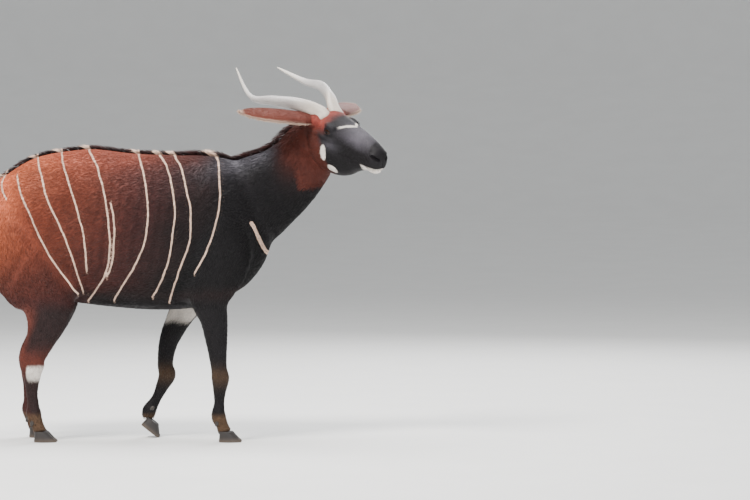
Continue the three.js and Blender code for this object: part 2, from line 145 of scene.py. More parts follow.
def smoothed(table: Array, steps: int) -> Array:
    """A Catmull-Rom spline through the rows of a table.

    Args:
        table: One row per station.
        steps: Rows made from each station to the next.

    Returns:
        The rows of the curve, the last station included.
    """
    count = len(table)
    index = np.arange(count - 1)

    def row(i: Array) -> Array:
        """Rows by number, the end rows standing in beyond the ends."""
        return table[np.clip(i, 0, count - 1)][:, None, :]

    a, b, d, e = row(index - 1), row(index), row(index + 1), row(index + 2)
    t = (np.arange(steps) / steps)[None, :, None]
    curve = b + 0.5 * t * (d - a + t * (2 * a - 5 * b + 4 * d - e + t * (3 * (b - d) + e - a)))
    return np.vstack([curve.reshape(-1, table.shape[1]), table[-1:]])


def ring_faces(rings: int, sides: int, capped: bool = True) -> list[tuple[int, ...]]:
    """Quads between closed rings of equal size.

    Args:
        rings: How many rings, one after another in the list of points.
        sides: Points in each ring.
        capped: Whether a many-sided cap closes each end.

    Returns:
        The faces, as tuples of point numbers.
    """
    i, j = np.meshgrid(np.arange(rings - 1), np.arange(sides), indexing="ij")
    a = (i * sides + j).ravel()
    b = (i * sides + (j + 1) % sides).ravel()
    quads = np.stack([a, b, b + sides, a + sides], axis=1)
    faces = [tuple(quad) for quad in quads.tolist()]
    if capped:
        faces.append(tuple(range(sides - 1, -1, -1)))
        faces.append(tuple(range((rings - 1) * sides, rings * sides)))
    return faces


# Stations: x, y, z of a section's centre, half its width, its reach above and below the centre.
TORSO = (
    (-792, 0, 950, 42, 75, 30),
    (-765, 0, 950, 108, 125, 95),
    (-700, 0, 950, 162, 182, 190),
    (-600, 0, 945, 203, 245, 245),
    (-450, 0, 945, 230, 316, 305),
    (-272, 0, 930, 250, 352, 335),
    (-60, 0, 930, 275, 331, 358),
    (120, 0, 930, 268, 324, 360),
    (250, 0, 930, 240, 322, 340),
    (370, 0, 930, 205, 302, 287),
    (440, 0, 930, 170, 270, 235),
    (500, 0, 930, 125, 205, 152),
    (535, 0, 930, 78, 140, 55),
    (547, 0, 930, 40, 90, 15),
)
NECK = (
    (300, 0, 930, 120, 225, 190),
    (400, 0, 1020, 145, 220, 205),
    (492, 0, 1090, 132, 178, 195),
    (575, 0, 1150, 112, 150, 176),
    (645, 0, 1222, 98, 128, 160),
    (698, 2, 1300, 92, 112, 148),
    (735, -4, 1365, 82, 90, 130),
)
TAIL = (
    (-745, 0, 1052, 34, 30, 30),
    (-795, 0, 1040, 30, 24, 28),
    (-826, 0, 980, 24, 20, 24),
    (-838, 0, 880, 19, 17, 19),
    (-838, 0, 770, 16, 15, 16),
    (-832, 0, 670, 13, 12, 13),
    (-826, 0, 600, 9, 9, 9),
)
FORE_TOP = (
    (232, 122, 1150, 50, 82, 82),
    (272, 150, 1020, 68, 122, 118),
    (306, 164, 900, 78, 138, 132),
)
FORE_STANDING = FORE_TOP + (
    (318, 164, 790, 77, 132, 134),
    (288, 155, 690, 70, 106, 118),
    (272, 147, 610, 57, 80, 88),
    (286, 138, 540, 46, 64, 66),
    (298, 128, 430, 35, 47, 48),
    (307, 122, 330, 31, 36, 38),
    (311, 120, 278, 34, 42, 38),
    (310, 118, 222, 26, 29, 30),
    (308, 117, 168, 20, 23, 25),
    (306, 116, 115, 28, 31, 35),
    (320, 115, 74, 26, 27, 29),
    (332, 115, 40, 30, 31, 32),
)
FORE_TRAILING = FORE_TOP + (
    (282, 164, 790, 77, 130, 132),
    (222, 155, 690, 70, 108, 112),
    (168, 147, 612, 57, 80, 84),
    (124, 138, 540, 46, 62, 62),
    (74, 128, 430, 35, 44, 46),
    (58, 122, 330, 31, 34, 38),
    (62, 120, 276, 34, 42, 38),
    (42, 118, 222, 26, 29, 30),
    (16, 117, 168, 20, 23, 25),
    (-12, 116, 120, 28, 31, 34),
    (-20, 115, 86, 26, 27, 28),
)
HIND = (
    (-598, 92, 1070, 62, 120, 130),
    (-592, 122, 965, 88, 170, 165),
    (-565, 138, 850, 96, 185, 175),
    (-508, 142, 730, 88, 172, 162),
    (-446, 139, 625, 70, 138, 132),
    (-442, 134, 540, 54, 100, 98),
    (-468, 130, 450, 40, 66, 68),
    (-498, 126, 375, 33, 52, 64),
    (-506, 124, 335, 33, 52, 60),
    (-509, 122, 290, 28, 41, 42),
    (-508, 120, 220, 21, 26, 29),
    (-504, 118, 165, 22, 26, 29),
    (-502, 117, 125, 29, 33, 36),
    (-488, 116, 78, 26, 28, 29),
    (-474, 116, 40, 30, 31, 32),
)
HIND_LAG = 46
HEAD = (
    (-118, 0, -112, 52, 58, 70),
    (-98, 0, -112, 78, 86, 102),
    (-50, 0, -112, 92, 106, 130),
    (10, 0, -118, 96, 122, 138),
    (60, 0, -112, 94, 128, 146),
    (110, 0, -100, 86, 116, 150),
    (160, 0, -88, 72, 102, 142),
    (215, 0, -78, 58, 86, 120),
    (270, 0, -76, 50, 76, 92),
    (318, 0, -80, 48, 68, 66),
    (350, 0, -84, 47, 60, 50),
    (370, 0, -86, 38, 46, 38),
    (380, 0, -86, 22, 26, 22),
)

# The right horn's middle line in the head's axes, mirrored for the left, and each one's lift.
HORN = (
    (38, 37, -30),
    (-12, 39, -4),
    (-99, 86, 13),
    (-215, 136, 0),
    (-346, 152, -35),
    (-501, 122, -12),
)
HORN_LIFT = {Side.RIGHT: (0, 0, -7, -18, -20, 24), Side.LEFT: (0, 0, 0, 0, 0, -16)}

# Where the ears point, and roughly which way their cups open, in the head's axes.
EAR_AIM = {Side.RIGHT: (-0.43, 0.896, 0.095), Side.LEFT: (-0.52, 0.82, -0.25)}
EAR_FRONT = (-0.08, 0.0, -1.0)

# The fine white body stripes, each down the flank from the spine, as x and z.
STRIPES = (
    ((-625, 1230), (-649, 1175), (-658, 1118), (-632, 1061)),
    ((-588, 1160), (-566, 1085), (-515, 975), (-465, 867), (-406, 766), (-322, 649)),
    ((-525, 1290), (-507, 1244), (-478, 1160), (-440, 1043), (-382, 925), (-339, 808), (-297, 657)),
    ((-410, 1300), (-398, 1257), (-364, 1160), (-326, 1044), (-297, 950), (-281, 858), (-276, 750)),
    ((-296, 1310), (-276, 1269), (-238, 1211), (-205, 1118), (-189, 1053), (-175, 943),
     (-171, 851), (-189, 750), (-238, 667), (-281, 614)),
    ((-166, 1041), (-153, 988), (-150, 908), (-155, 828), (-169, 764), (-186, 730)),
    ((-72, 1310), (-58, 1253), (-29, 1177), (-7, 1068), (-4, 967), (-20, 867), (-62, 774),
     (-112, 699), (-163, 619)),
    ((10, 1300), (30, 1257), (72, 1202), (101, 1110), (114, 1001), (101, 883), (81, 782),
     (39, 682), (9, 636)),
    ((65, 1310), (89, 1265), (135, 1194), (164, 1093), (181, 1001), (177, 875), (143, 782),
     (105, 682), (81, 611)),
    ((235, 1300), (257, 1261), (294, 1228), (303, 1136), (307, 1035), (282, 925), (248, 833),
     (197, 741)),
)
STRIPE_HALF = 3.7
CRESCENT = ((450, 957), (467, 925), (487, 877), (509, 833), (530, 812))
CRESCENT_HALF = 8.0

# Beyond its reach a stripe is counted as far away, and no stripe is drawn.
STRIPE_REACH = 18.0
FAR = 999.0

# The near flank looks larger than the middle plane, so stripes are drawn in to the line of sight.
NEARER = 0.0115
SIGHT_X = 987.0

# The two cheek spots: middle forward and up, half sizes forward and up, and lean.
CHEEK_SPOTS = ((98, -140, 14, 35, -0.16), (144, -203, 22, 17, -0.3))

# Where the hind leg's middle runs below the trunk, as height and x.
HIND_AXIS = ((40, -474), (220, -508), (335, -508), (450, -468), (540, -442), (625, -446), (730, -508))


@dataclass(frozen=True)
class HeadFrame:
    """The turned head's own axes: forward to the nose, left, and up, from between the horns."""

    turn: float = 45.0
    dip: float = 24.0
    roll: float = 11.0
    poll: tuple[float, float, float] = (785.0, -85.0, 1443.0)

    def axes(self) -> Array:
        """The three axes as the rows of a matrix."""
        turn, dip, roll = (math.radians(v) for v in (self.turn, self.dip, self.roll))
        forward = np.array(
            [math.cos(turn) * math.cos(dip), -math.sin(turn) * math.cos(dip), -math.sin(dip)]
        )
        level = np.array([math.sin(turn), math.cos(turn), 0.0])
        upright = np.cross(forward, level)
        left = math.cos(roll) * level + math.sin(roll) * upright
        return np.array([forward, left, np.cross(forward, left)])

    def out(self, local: Array) -> Array:
        """Head coordinates to the animal's layout."""
        return np.asarray(local, float) @ self.axes() + np.array(self.poll)

    def into(self, points: Array) -> Array:
        """The animal's layout to head coordinates."""
        return (points - np.array(self.poll)) @ self.axes().T


HEAD_FRAME = HeadFrame()


@dataclass(frozen=True)
class Loft:
    """A tube over stations, with sections square to its path."""

    table: tuple[tuple[float, ...], ...]
    power: float = 2.0
    flow: float = 1.0

    def sections(self, steps: int) -> tuple[Array, Array, Array, Array, Array]:
        """The sections along the path.

        Args:
            steps: Sections from each station to the next.

        Returns:
            Centres, tangents, directions across and up, and reaches, a row for each.
        """
        rows = smoothed(np.array(self.table, float), steps)
        centres = rows[:, :3]
        tangent = tangents(centres)
        up = unit(np.cross(tangent, np.array([0.0, 1.0, 0.0])))
        return centres, tangent, np.cross(up, tangent), up, rows[:, 3:6]

    def surface(self, sides: int, steps: int, grow: float) -> tuple[Array, list]:
        """The tube, as superellipses along the path.

        A section is across * half * |cos|^(2/power) + up * reach * |sin|^(2/power), with one reach
        above the centre and another below.

        Args:
            sides: Points in a section.
            steps: Sections from each station to the next.
            grow: What is added to every reach, in millimetres.

        Returns:
            Points and faces.
        """
        centres, _, across, up, reach = self.sections(steps)
        angle = circle(sides)
        bend = 2.0 / self.power
        c = np.sign(np.cos(angle)) * np.abs(np.cos(angle)) ** bend
        s = np.sign(np.sin(angle)) * np.abs(np.sin(angle)) ** bend
        rise = np.where(s > 0, reach[:, 1:2], reach[:, 2:3]) + grow
        points = (
            centres[:, None, :]
            + across[:, None, :] * ((reach[:, 0:1] + grow) * c)[..., None]
            + up[:, None, :] * (rise * s)[..., None]
        )
        return points.reshape(-1, 3), ring_faces(len(centres), sides)


def on_side(rows: tuple, side: Side, lag: float = 0.0) -> tuple:
    """A limb's stations on one side, its lower end moved back by lag.

    Args:
        rows: The stations, with y to the left.
        side: Which side.
        lag: How far back the lower end goes, in millimetres.

    Returns:
        The stations on that side.
    """
    table = np.array(rows, float)
    table[:, 1] *= side.value
    table[:, 0] -= lag * ease(100.0, 1000.0, 1000.0 - table[:, 2]) if lag else 0.0
    return tuple(map(tuple, table.tolist()))


LIMBS = {
    "fore_right": Loft(on_side(FORE_STANDING, Side.RIGHT)),
    "fore_left": Loft(on_side(FORE_TRAILING, Side.LEFT)),
    "hind_right": Loft(on_side(HIND, Side.RIGHT)),
    "hind_left": Loft(on_side(HIND, Side.LEFT, HIND_LAG)),
}
TRUNK = {"torso": Loft(TORSO, 2.15, -1.0), "neck": Loft(NECK, 2.1, -1.0), "tail": Loft(TAIL)}
HEAD_LOFT = Loft(HEAD, 2.25, -1.0)


def ellipsoid(centre: Array, radii: Array, cells: int = 24) -> tuple[Array, list]:
    """A closed ellipsoid: rings of latitude from pole to pole, cos and sin of two angles.

    Args:
        centre: Its middle.
        radii: Its three half axes.
        cells: Points in a ring.

    Returns:
        Points and faces.
    """
    rows = cells // 2 + 1
    theta = np.linspace(POLE_GAP, math.pi - POLE_GAP, rows)[:, None]
    phi = circle(cells)[None, :]
    x = np.sin(theta) * np.cos(phi)
    y = np.sin(theta) * np.sin(phi)
    z = np.broadcast_to(-np.cos(theta), x.shape)
    points = np.stack([x, y, z], axis=-1).reshape(-1, 3) * radii + centre
    return points, ring_faces(rows, cells)


@dataclass
class Placement:
    """Where the animal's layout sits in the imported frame, in metres."""

    shift: Array

    @classmethod
    def from_frame(cls, eye: "EyeShape") -> "Placement":
        """Read the shift from the box of the right eye, a ball whose centre the layout gives."""
        low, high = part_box("eye_right")
        middle = (np.array(low) + np.array(high)) / 2
        return cls(middle - eye.centre(Side.RIGHT) * MM)

    def out(self, points: Array) -> Array:
        """Layout millimetres to scene metres."""
        return np.asarray(points) * MM + self.shift


def placed(name: str, data: bpy.types.ID) -> bpy.types.Object:
    """A new object in the scene, at the origin."""
    thing = bpy.data.objects.new(name, data)
    bpy.context.scene.collection.objects.link(thing)
    return thing


def mesh_object(name: str, points: Array, faces: list) -> bpy.types.Object:
    """A new mesh object from points in metres and faces of any size."""
    mesh = bpy.data.meshes.new(name)
    mesh.from_pydata(np.asarray(points).tolist(), [], faces)
    mesh.update()
    return placed(name, mesh)


def shade_smooth(thing: bpy.types.Object) -> None:
    """Smooth shading on every face."""
    mesh = thing.data
    mesh.polygons.foreach_set("use_smooth", np.ones(len(mesh.polygons), dtype=bool))
    mesh.update()


def merged(parts: list[tuple[Array, list]]) -> tuple[Array, list]:
    """Several point and face lists as one.

    Args:
        parts: The points and the faces of each.

    Returns:
        The points and the faces of all.
    """
    points, faces, start = [], [], 0
    for part_points, part_faces in parts:
        points.append(part_points)
        faces += [tuple(i + start for i in face) for face in part_faces]
        start += len(part_points)
    return np.vstack(points), faces


def fused(parts: list[tuple[Array, list]], voxel: float) -> tuple[Array, Array]:
    """The union of closed bodies on a voxel grid.

    Args:
        parts: Closed bodies, in millimetres.
        voxel: The grid's cell in millimetres.

    Returns:
        Points and quads.
    """
    points, faces = merged(parts)
    thing = mesh_object("fuse", points * MM, faces)
    remesh = thing.modifiers.new("Fuse", "REMESH")
    remesh.mode = "VOXEL"
    remesh.voxel_size = voxel * MM
    done = thing.evaluated_get(bpy.context.evaluated_depsgraph_get()).to_mesh()
    out = np.empty(len(done.vertices) * 3)
    done.vertices.foreach_get("co", out)
    quads = np.empty(len(done.loops), dtype=np.int64)
    done.loops.foreach_get("vertex_index", quads)
    base = thing.data
    bpy.data.objects.remove(thing)
    bpy.data.meshes.remove(base)
    return out.reshape(-1, 3) / MM, quads.reshape(-1, 4)


def edges_of(faces: Array) -> Array:
    """Each edge of a list of equal-sided faces, once."""
    pairs = np.vstack([faces[:, [i, (i + 1) % faces.shape[1]]] for i in range(faces.shape[1])])
    return np.unique(np.sort(pairs, axis=1), axis=0)


def relaxed(points: Array, edges: Array, rounds: int, share: Array | float) -> Array:
    """Each point moved towards the mean of its neighbours.

    Args:
        points: The points.
        edges: Pairs of neighbours.
        rounds: How many times.
        share: How far each point goes towards that mean, 0 to 1.

    Returns:
        The points at their new places.
    """
    share = np.broadcast_to(share, len(points))[:, None]
    count = np.bincount(edges.ravel(), minlength=len(points))[:, None]
    count = np.maximum(count, 1)
    for _ in range(rounds):
        total = np.empty_like(points)
        for axis in range(3):
            value = points[:, axis]
            first = np.bincount(edges[:, 0], value[edges[:, 1]], len(points))
            second = np.bincount(edges[:, 1], value[edges[:, 0]], len(points))
            total[:, axis] = first + second
        points = points + share * (total / count - points)
    return points


def normals_of(points: Array, triangles: Array) -> Array:
    """Point normals: the sum of the area vectors of the triangles around each.

    Args:
        points: The points.
        triangles: Triangles between them.

    Returns:
        Unit normals, one per point.
    """
    a, b, c = (points[triangles[:, k]] for k in range(3))
    area = np.cross(b - a, c - a)
    total = np.zeros_like(points)
    for axis in range(3):
        for k in range(3):
            total[:, axis] += np.bincount(triangles[:, k], area[:, axis], len(points))
    return unit(total)


def value_noise(points: Array, cell: float, seed: int) -> Array:
    """Smooth noise: hashed values at the corners of cells, eased between them by 3t^2 - 2t^3.

    Args:
        points: Where it is wanted.
        cell: The size of a cell, in the points' unit.
        seed: Which noise.

    Returns:
        Values from -1 to 1, one per point.
    """
    q = points / cell + seed * SEED_STEP
    base = np.floor(q).astype(np.int64)
    t = q - base
    t = t * t * (3 - 2 * t)
    out = np.zeros(len(points))
    for corner in np.ndindex(2, 2, 2):
        h = ((base + corner) @ HASH_PRIMES) & 0xFFFFFFFF
        h = ((h ^ (h >> 13)) * HASH_FACTOR) & 0xFFFFFFFF
        value = ((h ^ (h >> 16)) & 0xFFFF) / 32767.5 - 1.0
        share = np.ones(len(points))
        for axis, step in enumerate(corner):
            share *= t[:, axis] if step else 1 - t[:, axis]
        out += share * value
    return out


@dataclass(frozen=True)
class Relief:
    """A rounded swelling or hollow of the flank, told by its place in side view.

    Its height falls off as exp(-r^2), with r measured along two turned axes.
    """

    x: float
    z: float
    long: float
    short: float
    lean: float
    height: float

    def at(self, points: Array) -> Array:
        """The height at each point."""
        dx, dz = points[:, 0] - self.x, points[:, 2] - self.z
        along, across = rotated(dx, dz, -math.radians(self.lean))
        return self.height * hump(along / self.long, across / self.short)


# Muscle and bone under the coat: lean is the long axis's angle above the way forward.
FLANK_RELIEF = (
    Relief(250, 1120, 150, 14, 64, 5),
    Relief(330, 1090, 120, 26, 62, -5),
    Relief(205, 1030, 130, 34, 70, -6),
    Relief(385, 905, 60, 50, 60, 9),
    Relief(250, 850, 90, 55, 40, 8),
    Relief(180, 760, 34, 60, 70, -7),
    Relief(60, 930, 180, 120, 0, 6),
    Relief(-330, 1010, 120, 60, 50, -15),
    Relief(-370, 1190, 60, 36, 20, 12),
    Relief(-470, 1150, 60, 60, 0, -5),
    Relief(-420, 900, 60, 130, 20, 8),
    Relief(-330, 760, 80, 40, 60, -12),
    Relief(-640, 930, 150, 20, 75, -8),
    Relief(-700, 900, 110, 40, 80, 7),
    Relief(-560, 760, 110, 26, 62, -7),
    Relief(-690, 1120, 50, 30, 0, 8),
    Relief(520, 1010, 130, 14, 55, -6),
    Relief(600, 1170, 110, 26, 50, 5),
)


@dataclass(frozen=True)
class Rib:
    """A faint rib behind the shoulder: an upright band of the flank that leans a little."""

    x: float
    height: float = 1.6
    half: float = 13.0
    lean: float = 0.16

    def at(self, points: Array) -> Array:
        """The height at each point."""
        x, z = points[:, 0], points[:, 2]
        band = hump((x - (self.x + self.lean * (z - 900))) / self.half)
        return self.height * band * ease(720, 820, z) * ease(1180, 1080, z)


RIBS = tuple(Rib(-220.0 + 44.0 * k) for k in range(8))

# Swellings and hollows of the face: height, then the middle and the half size, each forward, out
# and up. In order: cheek bone, hollow before the eye, arch behind it, jaw, cheek hollow, hollow
# before the ear, and nose.
FACE_RELIEF = (
    (5.0, 110, 66, -72, 55, 40, 9),
    (-6.0, 165, 60, -70, 40, 40, 26),
    (4.0, 60, 85, -70, 60, 40, 12),
    (5.0, 50, 90, -170, 60, 50, 60),
    (-5.0, 190, 52, -120, 70, 40, 12),
    (-4.0, 20, 90, -40, 26, 40, 30),
    (3.0, 300, 46, -64, 40, 30, 20),
)


@dataclass(frozen=True)
class EyeShape:
    """The eyeball and its almond opening, in the head's axes."""

    forward: float = 98.0
    out: float = 69.0
    up: float = -42.0
    radius: float = 20.0
    half_long: float = 19.0
    half_upper: float = 12.0
    half_lower: float = 9.5
    tilt: float = 10.0

    def local(self, side: Side) -> Array:
        """The ball's centre in the head's axes."""
        return np.array([self.forward, side.value * self.out, self.up])

    def centre(self, side: Side) -> Array:
        """The ball's centre in the animal's layout."""
        return HEAD_FRAME.out(self.local(side))

    def outline(self, angle: Array, scale: float) -> tuple[Array, Array]:
        """The lid's rim: an ellipse, sharpened at both corners and tilted.

        Args:
            angle: Angles round it, in radians.
            scale: How much larger than the rim.

        Returns:
            Forward and up from the ball's centre.
        """
        a = self.half_long * scale * np.cos(angle)
        high = np.where(np.sin(angle) > 0, self.half_upper, self.half_lower)
        b = high * scale * np.sign(np.sin(angle)) * np.abs(np.sin(angle)) ** 1.35
        return rotated(a, b, math.radians(self.tilt))

    def depth(self, forward: Array, up: Array) -> Array:
        """1 at the middle of the opening, 0 on its rim, below 0 outside it."""
        a, b = rotated(forward, up, -math.radians(self.tilt))
        high = np.where(b > 0, self.half_upper, self.half_lower)
        return 1.0 - np.sqrt((a / self.half_long) ** 2 + (b / high) ** 2)


EYE = EyeShape()


def head_flesh(grow: float) -> list[tuple[Array, list]]:
    """The head's loft with eye bulges, brows, horn bosses, ear roots, nostril wings and chin.

    Args:
        grow: What is added to every reach, in millimetres.

    Returns:
        Closed bodies in the layout, each as points and faces.
    """
    parts = [HEAD_LOFT.surface(48, 5, grow)]
    for side in Side:
        s = side.value
        f, r, u = EYE.forward, EYE.out, EYE.up
        balls = (
            ((f - 2, s * (r + 3), u), (31, 19, 25)),
            ((f - 6, s * (r - 4), u + 20), (36, 20, 16)),
            ((-8, s * 38, -22), (40, 36, 27)),
            ((-6, s * 72, -38), (48, 26, 29)),
            ((342, s * 27, -58), (30, 20, 22)),
        )
        parts += [ellipsoid(np.array(middle, float), np.array(radii, float) + grow)
                  for middle, radii in balls]
    parts.append(ellipsoid(np.array([338.0, 0, -128]), np.array([34.0, 30, 16]) + grow))
    return [(HEAD_FRAME.out(points), faces) for points, faces in parts]


@dataclass
class Skin:
    """One skin over torso, neck, head, limbs and tail, with no seam.

    The lofts are fused on a voxel grid, their joins are relaxed, the head and the lower legs are
    made finer and laid back on their own forms, and muscles and the face are worked in.
    """

    depth: float = 4.0
    head_depth: float = 1.5
    voxel: float = 9.0
    head_voxel: float = 2.6
    fine_below: float = 540.0
    fine_behind: float = -812.0
    search: float = 30.0
    points: Array = field(default_factory=lambda: np.zeros((0, 3)))
    triangles: Array = field(default_factory=lambda: np.zeros((0, 3), dtype=np.int64))

    def build(self) -> None:
        """Work out the points and triangles, in the layout's millimetres."""
        parts = [loft.surface(40, 6, -self.depth) for loft in TRUNK.values()]
        parts += [loft.surface(32, 6, -self.depth * 0.6) for loft in LIMBS.values()]
        parts += head_flesh(-self.head_depth)
        points, quads = fused(parts, self.voxel)
        edges = edges_of(quads)
        points = relaxed(points, edges, 14, 0.6 * self.body_share(points))
        points = relaxed(points, edges, 3, 0.35)
        points, faces = self.refined(points, quads)
        points = self.laid_on_forms(points)
        points = relaxed(points, edges_of(faces), 2, 0.4)
        normals = normals_of(points, faces)
        points = points + normals * self.muscles(points)[:, None]
        points = self.face(points)
        self.points, self.triangles = points, faces

    @staticmethod
    def body_share(points: Array) -> Array:
        """How strongly the fused joins are relaxed: fully on the trunk, little below and ahead."""
        local = HEAD_FRAME.into(points)
        head = ease(-150, -60, local[:, 0]) * ease(-330, -230, local[:, 2])
        legs = ease(640, 480, points[:, 2])
        tail = ease(-800, -830, points[:, 0])
        return (1 - head) * (1 - legs) * (1 - tail) * 0.95 + 0.05

    def refined(self, points: Array, quads: Array) -> tuple[Array, Array]:
        """The head's faces quartered twice and those of the legs and tail once.

        Args:
            points: The fused skin's points.
            quads: Its faces.

        Returns:
            Points and triangles.
        """
        work = bmesh.new()
        verts = [work.verts.new(p) for p in points.tolist()]
        for quad in quads.tolist():
            work.faces.new([verts[i] for i in quad])
        for level in range(2):
            work.verts.ensure_lookup_table()
            at = np.array([v.co[:] for v in work.verts])
            local = HEAD_FRAME.into(at)
            fine = (local[:, 0] > -20) & (local[:, 2] > -290) & (local[:, 0] < 420)
            fine &= np.abs(local[:, 1]) < 130
            if level == 0:
                fine |= at[:, 2] < self.fine_below
                fine |= at[:, 0] < self.fine_behind
            chosen = [
                edge for edge in work.edges if fine[edge.verts[0].index] and fine[edge.verts[1].index]
            ]
            bmesh.ops.subdivide_edges(work, edges=chosen, cuts=1, use_grid_fill=True)
            work.verts.index_update()
        bmesh.ops.triangulate(work, faces=work.faces[:])
        work.verts.index_update()
        out = np.array([v.co[:] for v in work.verts])
        faces = np.array([[v.index for v in face.verts] for face in work.faces])
        work.free()
        return out, faces

    def laid_on_forms(self, points: Array) -> Array:
        """Points of the head, lower legs and tail moved onto the forms that they came from.

        Args:
            points: The refined skin's points.

        Returns:
            The points where they lie.
        """
        fine_points, fine_quads = fused(head_flesh(-self.head_depth), self.head_voxel)
        fine_points = relaxed(fine_points, edges_of(fine_quads), 10, 0.5)
        head_tree = BVHTree.FromPolygons(fine_points.tolist(), fine_quads.tolist())
        parts = [loft.surface(40, 10, -self.depth * 0.5) for loft in LIMBS.values()]
        parts.append(TRUNK["tail"].surface(24, 10, -2.0))
        limb_points, limb_faces = merged(parts)
        limb_tree = BVHTree.FromPolygons(limb_points.tolist(), limb_faces)
        local = HEAD_FRAME.into(points)
        head = ease(-30, 25, local[:, 0]) * (local[:, 2] > -300) * (np.abs(local[:, 1]) < 140)
        legs = ease(520, 440, points[:, 2]) * (points[:, 0] < 560)
        tail = ease(-815, -830, points[:, 0])
        out = points.copy()
        for tree, share in ((head_tree, head), (limb_tree, np.maximum(legs, tail))):
            for i in np.nonzero(share > 0.01)[0]:
                spot = tree.find_nearest(Vector(points[i]), self.search)[0]
                if spot is not None:
                    out[i] += (np.array(spot) - points[i]) * share[i]
        return out

    @staticmethod
    def muscles(points: Array) -> Array:
        """Height of muscle and bone relief along the normal.

        Args:
            points: The skin's points.

        Returns:
            Heights in millimetres.
        """
        total = np.zeros(len(points))
        for form in FLANK_RELIEF + RIBS:
            total += form.at(points)
        flank = ease(45, 110, np.abs(points[:, 1]))
        head = HEAD_FRAME.into(points)[:, 0] > -80
        relief = total * flank * ease(560, 640, points[:, 2]) * ~head
        tendon = ease(520, 480, points[:, 2]) * value_noise(points, 40, 3) * 0.8
        return relief + tendon * ease(100, 140, points[:, 2])

    @staticmethod
    def face(points: Array) -> Array:
        """The eye sockets, nostrils, mouth line and the fine forms of the face.

        Args:
            points: The skin's points.

        Returns:
            The points with the face worked in.
        """
        q = HEAD_FRAME.into(points)
        f, l, u = q[:, 0].copy(), q[:, 1].copy(), q[:, 2].copy()
        side = np.sign(l)
        flank = np.abs(l)
        inside = (f > -40) & (u > -300)

        outward = np.zeros(len(q))
        for height, cf, cl, cu, rf, rl, ru in FACE_RELIEF:
            outward += height * hump((f - cf) / rf, (flank - cl) / rl, (u - cu) / ru)
        l = l + side * outward * inside
        depth = EYE.depth(f - EYE.forward, u - EYE.up)
        socket = ease(-0.08, 0.3, depth) * (flank > 40) * inside
        l = l - side * 13.0 * socket
        wing = ((f - 365) / 17) ** 2 + ((u + 60 - (flank - 28) * 0.5) / 7.5) ** 2
        hole = hump(wing) * ease(12, 18, flank) * (f > 335)
        f = f - 15.0 * hole
        l = l - side * 5.0 * hole
        rim = hump((np.sqrt(wing) - 1.5) / 0.35) * (f > 330) * (u > -85)
        l = l + side * 1.6 * rim
        philtrum = hump(l / 3.0) * ease(352, 372, f) * ease(-30, -50, u)
        f = f - 3.0 * philtrum
        line = -116.0 + 10.0 * ease(300, 262, f) - 0.04 * np.maximum(f - 330, 0)
        slit = hump((u - line) / 2.6) * ease(252, 268, f)
        out_way = unit(np.stack([np.maximum(f - 330, 0), l, np.zeros(len(l))], axis=1) + 1e-6)
        f = f - 6.0 * slit * out_way[:, 0] * inside
        l = l - 6.0 * slit * out_way[:, 1] * inside
        lip = hump((u - line - 8) / 6) + 0.8 * hump((u - line + 8) / 6)
        lip *= ease(268, 300, f) * (f < 390)
        l = l + 1.8 * side * lip * ease(5, 20, np.abs(l))
        moved = HEAD_FRAME.out(np.stack([f, l, u], axis=1))
        return np.where(inside[:, None], moved, points)


# Colours of the coat, in linear light.
ORANGE = np.array([0.285, 0.068, 0.029])
CHESTNUT = np.array([0.165, 0.037, 0.019])
RUSSET = np.array([0.088, 0.021, 0.014])
MAHOGANY = np.array([0.040, 0.012, 0.011])
SEAL = np.array([0.018, 0.009, 0.009])
BLACK = np.array([0.006, 0.005, 0.006])
# A painted sheen: the grey-blue of light on black hair, laid over the nape, the cheek and the top of
# the nose.
PAINTED_SHEEN = np.array([0.060, 0.055, 0.066])
CREAM = np.array([0.700, 0.500, 0.390])
WHITE = np.array([0.720, 0.660, 0.600])
FAWN = np.array([0.420, 0.240, 0.130])
CROWN = np.array([0.200, 0.036, 0.026])

# Colours of horn, hoof and eye, in linear light.
HORN_FOOT = np.array([0.16, 0.11, 0.08])
HORN_LOW = np.array([0.47, 0.41, 0.35])
HORN_MIDDLE = np.array([0.37, 0.35, 0.34])
HORN_TIP = np.array([0.54, 0.50, 0.44])
HOOF_WORN = np.array([0.16, 0.12, 0.09])
HOOF_LOW = np.array([0.075, 0.055, 0.042])
HOOF_HIGH = np.array([0.022, 0.018, 0.017])
DEWCLAW = np.array([0.03, 0.024, 0.02])
EYE_DARK = np.array([0.013, 0.009, 0.008])
IRIS = np.array([0.024, 0.009, 0.004])
PUPIL = np.array([0.003, 0.003, 0.004])
LID = np.array([0.03, 0.022, 0.022])


